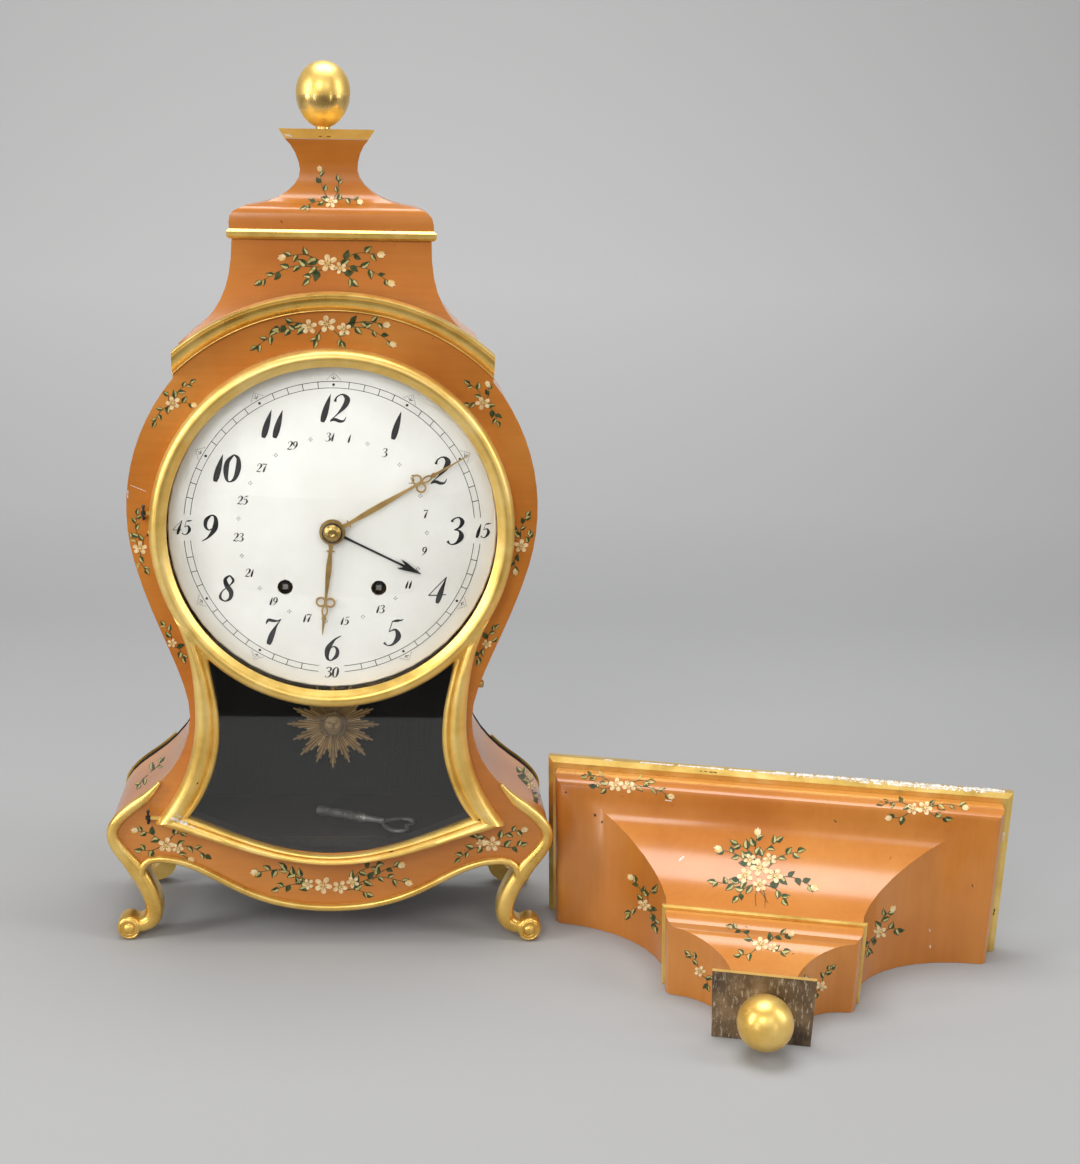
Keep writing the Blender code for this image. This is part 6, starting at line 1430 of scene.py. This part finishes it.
class Brush:
    """Painter of flat closed shapes on a surface, each shape a little above the last layer."""

    def __init__(self, tree, scale):
        self.tree = tree
        self.scale = scale
        self.bm = bmesh.new()

    def shape(self, outline, paint, layer):
        front = []
        back = []
        for x, y in outline:
            hit, normal, _, _ = self.tree.ray_cast(EYE, sight(x, y))
            if hit is None:
                return
            if normal.dot(sight(x, y)) > 0:
                normal = -normal
            front.append(hit + normal * (PAINT_LIFT + LAYER_LIFT * layer))
            back.append(hit - normal * PAINT_SINK)
        if max((a - front[0]).length for a in front) > LONGEST_SHAPE:
            return
        made = [self.bm.verts.new(p - CLOCK) for p in front]
        made_back = [self.bm.verts.new(p - CLOCK) for p in back]
        faces = [self.bm.faces.new(made), self.bm.faces.new(made_back[::-1])]
        for i in range(len(made)):
            j = (i + 1) % len(made)
            faces.append(self.bm.faces.new((made[i], made_back[i], made_back[j], made[j])))
        for face in faces:
            face.material_index = paint

    def leaf(self, x, y, angle, length, rng):
        """Pointed leaf with a dark body and one pale half."""
        half = length * rng.uniform(0.27, 0.36)
        bend = rng.uniform(-0.14, 0.14) * length
        across = (-sin(angle), cos(angle))
        left = []
        right = []
        spine = []
        for i in range(8):
            t = i / 7
            swell = half * sin(pi * t ** 0.72)
            off = bend * sin(pi * t)
            px = x + cos(angle) * length * t + across[0] * off
            py = y + sin(angle) * length * t + across[1] * off
            spine.append((px, py))
            left.append((px + across[0] * swell, py + across[1] * swell))
            right.append((px - across[0] * swell, py - across[1] * swell))
        self.shape(left + right[-2:0:-1], DARK, 1)
        side = left if rng.random() < 0.5 else right
        pale = [((a[0] * 0.24 + b[0] * 0.76), (a[1] * 0.24 + b[1] * 0.76)) for a, b in zip(spine, side)]
        if rng.random() < 0.9:
            self.shape(spine[1:7] + pale[6:0:-1], PALE, 2)

    def stem(self, path, width):
        sides = path_sides(path)
        count = len(path) - 1
        left = []
        right = []
        for i, (point, side) in enumerate(zip(path, sides)):
            half = width * (1 - 0.5 * i / count) / 2
            left.append((point[0] + side[0] * half, point[1] + side[1] * half))
            right.append((point[0] - side[0] * half, point[1] - side[1] * half))
        for i in range(count):
            self.shape([left[i], left[i + 1], right[i + 1], right[i]], TWIG, 0)

    def bud(self, x, y, angle, size):
        """Three drops of paint and one small leaf."""
        drops = ((-0.34, 1.0, YELLOW, 3), (0.34, 1.0, CREAM, 4), (0, 1.16, CREAM, 5))
        for turn, length, paint, layer in drops:
            drop = []
            for i in range(9):
                u = i / 8
                drop.append((u * size * length, size * 0.25 * sin(pi * u ** 0.9)))
            drop += [(u, -v) for u, v in reversed(drop[1:-1])]
            self.shape([turned(x, y, angle + turn, u, v) for u, v in drop], paint, layer)
        self.leaf(x, y, angle + 0.7, size * 0.8, random.Random(3))

    def flower(self, x, y, size, rng):
        """Five round petals with warm throats round a yellow eye."""
        start = rng.uniform(0, 2 * pi)
        for k in range(5):
            angle = start + 2 * pi * k / 5 + rng.uniform(-0.12, 0.12)
            reach = size * rng.uniform(0.54, 0.64)
            middle = (x + cos(angle) * reach, y + sin(angle) * reach * 0.9)
            petal = []
            for i in range(12):
                turn = 2 * pi * i / 12
                u = size * 0.46 * cos(turn)
                v = size * 0.285 * sin(turn) * (1 + 0.35 * cos(turn))
                petal.append((middle[0] + u * cos(angle) - v * sin(angle),
                              middle[1] + (u * sin(angle) + v * cos(angle)) * 0.92))
            self.shape(petal, CREAM, 4 + k % 2)
            throat = []
            for i in range(8):
                turn = 2 * pi * i / 8
                u = size * (0.30 + 0.20 * cos(turn))
                v = size * 0.09 * sin(turn)
                throat.append(turned(x, y, angle, u, v))
            self.shape(throat, SHADE, 6)
        self.shape(oval(x, y, size * 0.19, size * 0.18, 10), YELLOW, 7)
        for k in range(4):
            dot = polar((x, y), size * 0.24, start + 0.6 + pi * k / 2)
            self.shape(oval(*dot, size * 0.055, size * 0.055, 6), TWIG, 8)

    def branch(self, start, end, bow, leaves, length, tip, rng):
        """Curved twig with leaves to either side and a bud or leaf at its tip."""
        span = hypot(end[0] - start[0], end[1] - start[1])
        side = (-(end[1] - start[1]) / span, (end[0] - start[0]) / span)
        middle = ((start[0] + end[0]) / 2 + side[0] * bow, (start[1] + end[1]) / 2 + side[1] * bow)
        path = smooth_path([start, middle, end], 6)
        self.stem(path, 1.1 * self.scale)
        count = len(path) - 1
        for k in range(leaves):
            t = (k + 1.0) / (leaves + 0.4)
            i = min(int(t * count), count - 1)
            way = atan2(path[i + 1][1] - path[i][1], path[i + 1][0] - path[i][0])
            turn = rng.uniform(0.55, 1.0) * (1 if k % 2 else -1)
            size = length * rng.uniform(0.68, 0.92) * (1.08 - 0.30 * t)
            self.leaf(*path[i], way + turn, size, rng)
        way = atan2(path[-1][1] - path[-2][1], path[-1][0] - path[-2][0])
        if tip == "bud":
            self.bud(*path[-1], way, length * 0.60)
        elif tip == "leaf":
            self.leaf(*path[-1], way, length * 0.72, rng)

    def flakes(self, start, end, width, share, paint, rng):
        """Row of ragged flakes along a line; share is how much of the line they cover."""
        span = hypot(end[0] - start[0], end[1] - start[1])
        way = ((end[0] - start[0]) / span, (end[1] - start[1]) / span)
        run = 0.0
        while run < span:
            length = min(rng.uniform(1.4, 5.0), span - run + 1.0)
            if rng.random() < share:
                middle = run + length / 2
                outline = []
                for i in range(9):
                    turn = 2 * pi * i / 9
                    along = middle + cos(turn) * length * rng.uniform(0.42, 0.62)
                    aside = sin(turn) * width * rng.uniform(0.22, 0.56)
                    outline.append((start[0] + way[0] * along - way[1] * aside,
                                    start[1] + way[1] * along + way[0] * aside))
                self.shape(outline, paint, 1)
            run += length

    def finish(self, name, body, paints, slot):
        piece(name, self.bm, paints, body, slot, angle=60)


BLOOM = 0.8

# Name, solid, body, leaf length, branches (start, end, bow, leaves, tip) and flowers (x, y, size)
SPRAYS = [
    ("spray_cap", "hood_cap", "case", 10,
     [((331, 203), (320, 172), -3, 5, "bud"), ((329, 203), (306, 206), 3, 4, "leaf"),
      ((333, 203), (357, 201), -4, 4, "bud"), ((333, 199), (338, 181), 3, 3, "leaf")],
     [(331, 202, 8)]),
    ("spray_hood", "hood_body", "case", 13,
     [((320, 267), (262, 281), 7, 9, "leaf"), ((322, 262), (286, 257), 5, 5, "bud"),
      ((338, 266), (388, 281), -6, 8, "bud"), ((340, 262), (377, 254), -5, 6, "bud"),
      ((327, 268), (309, 279), 2, 3, "leaf"), ((336, 270), (352, 280), -2, 3, "leaf")],
     [(328, 263, 12), (340, 268, 8)]),
    ("spray_head", "front_panel", "case", 12,
     [((308, 328), (257, 346), 6, 9, "leaf"), ((306, 324), (276, 331), 5, 5, "leaf"),
      ((344, 327), (390, 342), -6, 8, "bud"), ((346, 325), (383, 324), -3, 5, "bud"),
      ((322, 329), (316, 340), 1, 2, "leaf"), ((334, 331), (342, 341), -1, 2, "leaf")],
     [(309, 327, 10), (327, 324, 11), (344, 329, 9)]),
    ("spray_upper_left", "front_panel", "case", 10,
     [((173, 401), (190, 383), -3, 5, "leaf"), ((171, 405), (155, 421), 3, 5, "leaf"),
      ((176, 405), (191, 404), -2, 3, "bud"), ((169, 401), (163, 390), 2, 2, "bud")],
     [(173, 403, 9)]),
    ("spray_upper_right", "front_panel", "case", 10,
     [((482, 401), (470, 384), 3, 4, "leaf"), ((485, 405), (497, 421), -3, 5, "leaf"),
      ((479, 404), (468, 405), 2, 2, "leaf"), ((486, 400), (488, 387), 2, 3, "bud")],
     [(483, 403, 9)]),
    ("spray_left", "front_panel", "case", 10,
     [((140, 540), (137, 515), -3, 5, "leaf"), ((141, 552), (145, 569), 3, 4, "leaf"),
      ((138, 547), (131, 537), 2, 2, "leaf"), ((143, 546), (148, 534), -2, 2, "bud")],
     [(140, 548, 9)]),
    ("spray_right", "front_panel", "case", 10,
     [((521, 540), (527, 517), -3, 5, "leaf"), ((520, 551), (515, 569), 3, 4, "bud"),
      ((524, 546), (529, 536), 2, 2, "leaf"), ((518, 543), (514, 532), -2, 2, "leaf")],
     [(521, 546, 9)]),
    ("spray_lower_left", "front_panel", "case", 10,
     [((172, 641), (165, 626), 2, 4, "leaf"), ((174, 646), (183, 657), -2, 4, "leaf"),
      ((170, 642), (163, 640), 1, 1, "bud")],
     [(172, 643, 6)]),
    ("spray_lower_right", "front_panel", "case", 10,
     [((487, 642), (494, 629), -2, 4, "leaf"), ((485, 647), (478, 659), 2, 4, "leaf"),
      ((489, 644), (495, 642), -1, 1, "bud")],
     [(487, 644, 6)]),
    ("spray_base_left", "front_panel", "case", 11,
     [((162, 842), (138, 831), 3, 5, "bud"), ((173, 846), (205, 855), -4, 6, "leaf"),
      ((160, 847), (142, 850), -2, 3, "leaf"), ((170, 839), (182, 833), -2, 2, "leaf"),
      ((174, 849), (188, 858), 1, 2, "bud")],
     [(166, 845, 10), (178, 848, 7)]),
    ("spray_base_right", "front_panel", "case", 11,
     [((497, 841), (521, 830), -3, 5, "bud"), ((486, 847), (460, 858), 4, 6, "leaf"),
      ((500, 846), (520, 845), 2, 4, "leaf"), ((489, 840), (477, 836), 2, 2, "leaf")],
     [(492, 844, 10), (481, 843, 6)]),
    ("spray_apron", "front_panel", "case", 12,
     [((312, 884), (258, 872), 8, 9, "bud"), ((314, 888), (279, 888), 4, 5, "leaf"),
      ((309, 880), (285, 868), -3, 4, "leaf"), ((352, 886), (405, 882), -7, 9, "bud"),
      ((350, 882), (376, 866), -4, 5, "leaf"), ((345, 890), (366, 893), -2, 3, "leaf"),
      ((372, 880), (398, 866), -3, 4, "bud")],
     [(323, 885, 11), (340, 887, 9), (353, 882, 8), (308, 884, 7)]),
    ("spray_side_left", "side_panel_left", "case", 9,
     [((150, 772), (161, 762), 1, 4, "leaf"), ((148, 775), (140, 784), 1, 3, "leaf")], []),
    ("spray_side_right", "side_panel_right", "case", 11,
     [((530, 787), (522, 772), 2, 5, "leaf"), ((532, 790), (540, 800), 2, 4, "leaf"),
      ((528, 783), (535, 776), 1, 2, "bud")],
     [(531, 786, 5)]),
    ("spray_shelf_left", "bracket_upper_body", "bracket", 11,
     [((612, 783), (588, 776), 3, 5, "leaf"), ((625, 787), (668, 795), -4, 8, "bud"),
      ((613, 787), (596, 787), -2, 3, "leaf"), ((630, 784), (648, 781), -2, 3, "leaf")],
     [(616, 785, 9), (629, 787, 8)]),
    ("spray_shelf_right", "bracket_upper_body", "bracket", 11,
     [((914, 808), (884, 804), 4, 6, "leaf"), ((926, 809), (962, 807), -4, 7, "bud"),
      ((910, 812), (892, 818), -2, 3, "bud"), ((929, 812), (945, 818), 2, 3, "leaf")],
     [(913, 809, 8), (925, 808, 9)]),
    ("bouquet", "bracket_upper_body", "bracket", 13,
     [((760, 868), (757, 836), -3, 6, "bud"), ((752, 868), (722, 850), 4, 7, "bud"),
      ((768, 868), (797, 852), -4, 6, "leaf"), ((750, 878), (716, 882), -4, 7, "leaf"),
      ((770, 878), (811, 886), -5, 8, "bud"), ((757, 884), (738, 896), 3, 4, "leaf"),
      ((765, 885), (783, 898), -3, 4, "leaf"), ((760, 862), (776, 842), -3, 4, "leaf"),
      ((756, 862), (738, 844), 3, 4, "leaf"), ((759, 885), (756, 906), 2, 0, None),
      ((761, 885), (765, 907), -2, 0, None), ((755, 886), (768, 903), -1, 0, None)],
     [(760, 868, 12), (745, 876, 10), (775, 876, 10), (750, 860, 8), (770, 859, 8), (760, 885, 9)]),
    ("spray_cove_left", "bracket_upper_body", "bracket", 11,
     [((643, 903), (633, 880), 3, 5, "bud"), ((646, 908), (656, 926), -3, 5, "leaf"),
      ((641, 908), (630, 914), 2, 3, "leaf"), ((648, 902), (652, 890), -2, 2, "leaf")],
     [(644, 905, 8)]),
    ("spray_cove_right", "bracket_upper_body", "bracket", 11,
     [((880, 930), (890, 911), -3, 5, "bud"), ((877, 935), (868, 950), 3, 4, "leaf"),
      ((884, 932), (897, 929), -2, 3, "leaf")],
     [(880, 932, 8)]),
    ("spray_lower_top", "bracket_lower_body", "bracket", 11,
     [((754, 943), (733, 928), 3, 5, "leaf"), ((768, 943), (788, 934), -3, 5, "bud"),
      ((756, 949), (741, 955), -2, 3, "leaf"), ((767, 949), (783, 951), 1, 3, "leaf")],
     [(761, 944, 10), (773, 948, 6)]),
    ("spray_lower_left_side", "bracket_lower_body", "bracket", 10,
     [((698, 968), (690, 955), 2, 4, "leaf"), ((701, 975), (708, 985), -2, 3, "leaf")],
     [(700, 971, 7)]),
    ("spray_lower_right_side", "bracket_lower_body", "bracket", 10,
     [((822, 982), (830, 969), -2, 4, "leaf"), ((820, 989), (814, 999), 2, 3, "leaf"),
      ((817, 984), (808, 980), 1, 2, "bud")],
     [(821, 986, 7)]),
]


def build_sprays():
    bpy.context.view_layer.update()
    trees = {}
    for index, (name, node, body, leaf, branches, flowers) in enumerate(SPRAYS):
        if node not in trees:
            trees[node] = surface(NODES[node])
        rng = random.Random(11 + index)
        brush = Brush(trees[node], leaf / 12)
        for start, end, bow, leaves, tip in branches:
            brush.branch(start, end, bow, round(leaves * LEAVES_KEPT), leaf, tip, rng)
        for x, y, size in flowers:
            brush.flower(x, y, size * BLOOM, rng)
        brush.finish(name, body, SPRAY_PAINTS, "lacquer")


build_sprays()


# Wear: name, object, body, slot and rows of flakes (start, end, width, share covered, paint)
BARE, MARK = range(2)
WEAR = [
    # The shelf's first rows lay a dense white band of flakes along the right part of its top edge
    ("white_edge_shelf", NODES["bracket_shelf"], "bracket", "gilt",
     [((772, 773.5), (1004, 792.0), 3.6, 0.90, BARE), ((860, 781.5), (985, 791.5), 4.0, 0.75, BARE),
      ((600, 759.5), (612, 760.5), 1.6, 0.6, BARE), ((640, 762.5), (775, 773.4), 2.0, 0.80, BARE),
      ((770, 772.5), (1000, 790.5), 3.6, 0.90, BARE), ((810, 775.5), (1000, 790.8), 4.0, 0.85, BARE),
      ((988, 929), (984, 948), 4.5, 0.95, BARE), ((1004, 832), (1003, 840), 1.8, 0.8, BARE),
      ((995, 908), (993, 916), 1.6, 0.7, MARK), ((700, 771), (716, 772.5), 1.2, 0.5, MARK)]),
    ("wear_door", DOOR, "door", "gilt",
     [((171, 818), (187, 824), 4.2, 0.95, BARE), ((176, 815), (184, 818), 2.2, 0.7, BARE),
      ((190, 826), (199, 830), 1.6, 0.5, BARE), ((474, 817), (480, 820), 1.8, 0.6, MARK),
      ((196, 786), (199, 780), 1.3, 0.5, MARK), ((386, 853), (393, 851), 1.6, 0.6, MARK)]),
    ("wear_cap", NODES["cap_plate"], "case", "gilt",
     [((284, 134.5), (291, 136.0), 2.2, 0.9, BARE), ((300, 135.5), (330, 136.5), 1.2, 0.25, MARK)]),
    ("wear_bracket", NODES["bracket_upper_body"], "bracket", "lacquer",
     [((679, 861), (683, 857), 2.0, 1.0, BARE), ((929, 929), (930, 931), 1.6, 1.0, BARE),
      ((930, 945), (930, 947), 1.6, 1.0, BARE), ((834, 820), (836, 822), 2.2, 1.0, MARK),
      ((677, 806), (685, 810), 1.5, 0.6, MARK), ((591, 811), (602, 822), 3.2, 0.35, MARK),
      ((665, 800), (671, 801), 1.2, 0.6, BARE), ((972, 884), (973, 887), 1.3, 0.9, MARK)]),
    ("wear_case", NODES["front_panel"], "case", "lacquer",
     [((131, 448), (129, 466), 1.3, 0.45, BARE), ((130.5, 485), (146, 491.5), 0.7, 0.85, BARE),
      ((128, 490), (127.5, 503), 1.2, 0.5, BARE),
      ((300, 356), (309, 354.5), 1.2, 0.4, MARK), ((158, 866), (172, 862), 1.2, 0.35, MARK)]),
]


def build_wear():
    for index, (name, thing, body, slot, rows) in enumerate(WEAR):
        rng = random.Random(71 + index)
        brush = Brush(surface(thing), 1)
        for start, end, width, share, mark in rows:
            brush.flakes(start, end, width, share, mark, rng)
        brush.finish(name, body, (GESSO, OLD_MARK), slot)


build_wear()
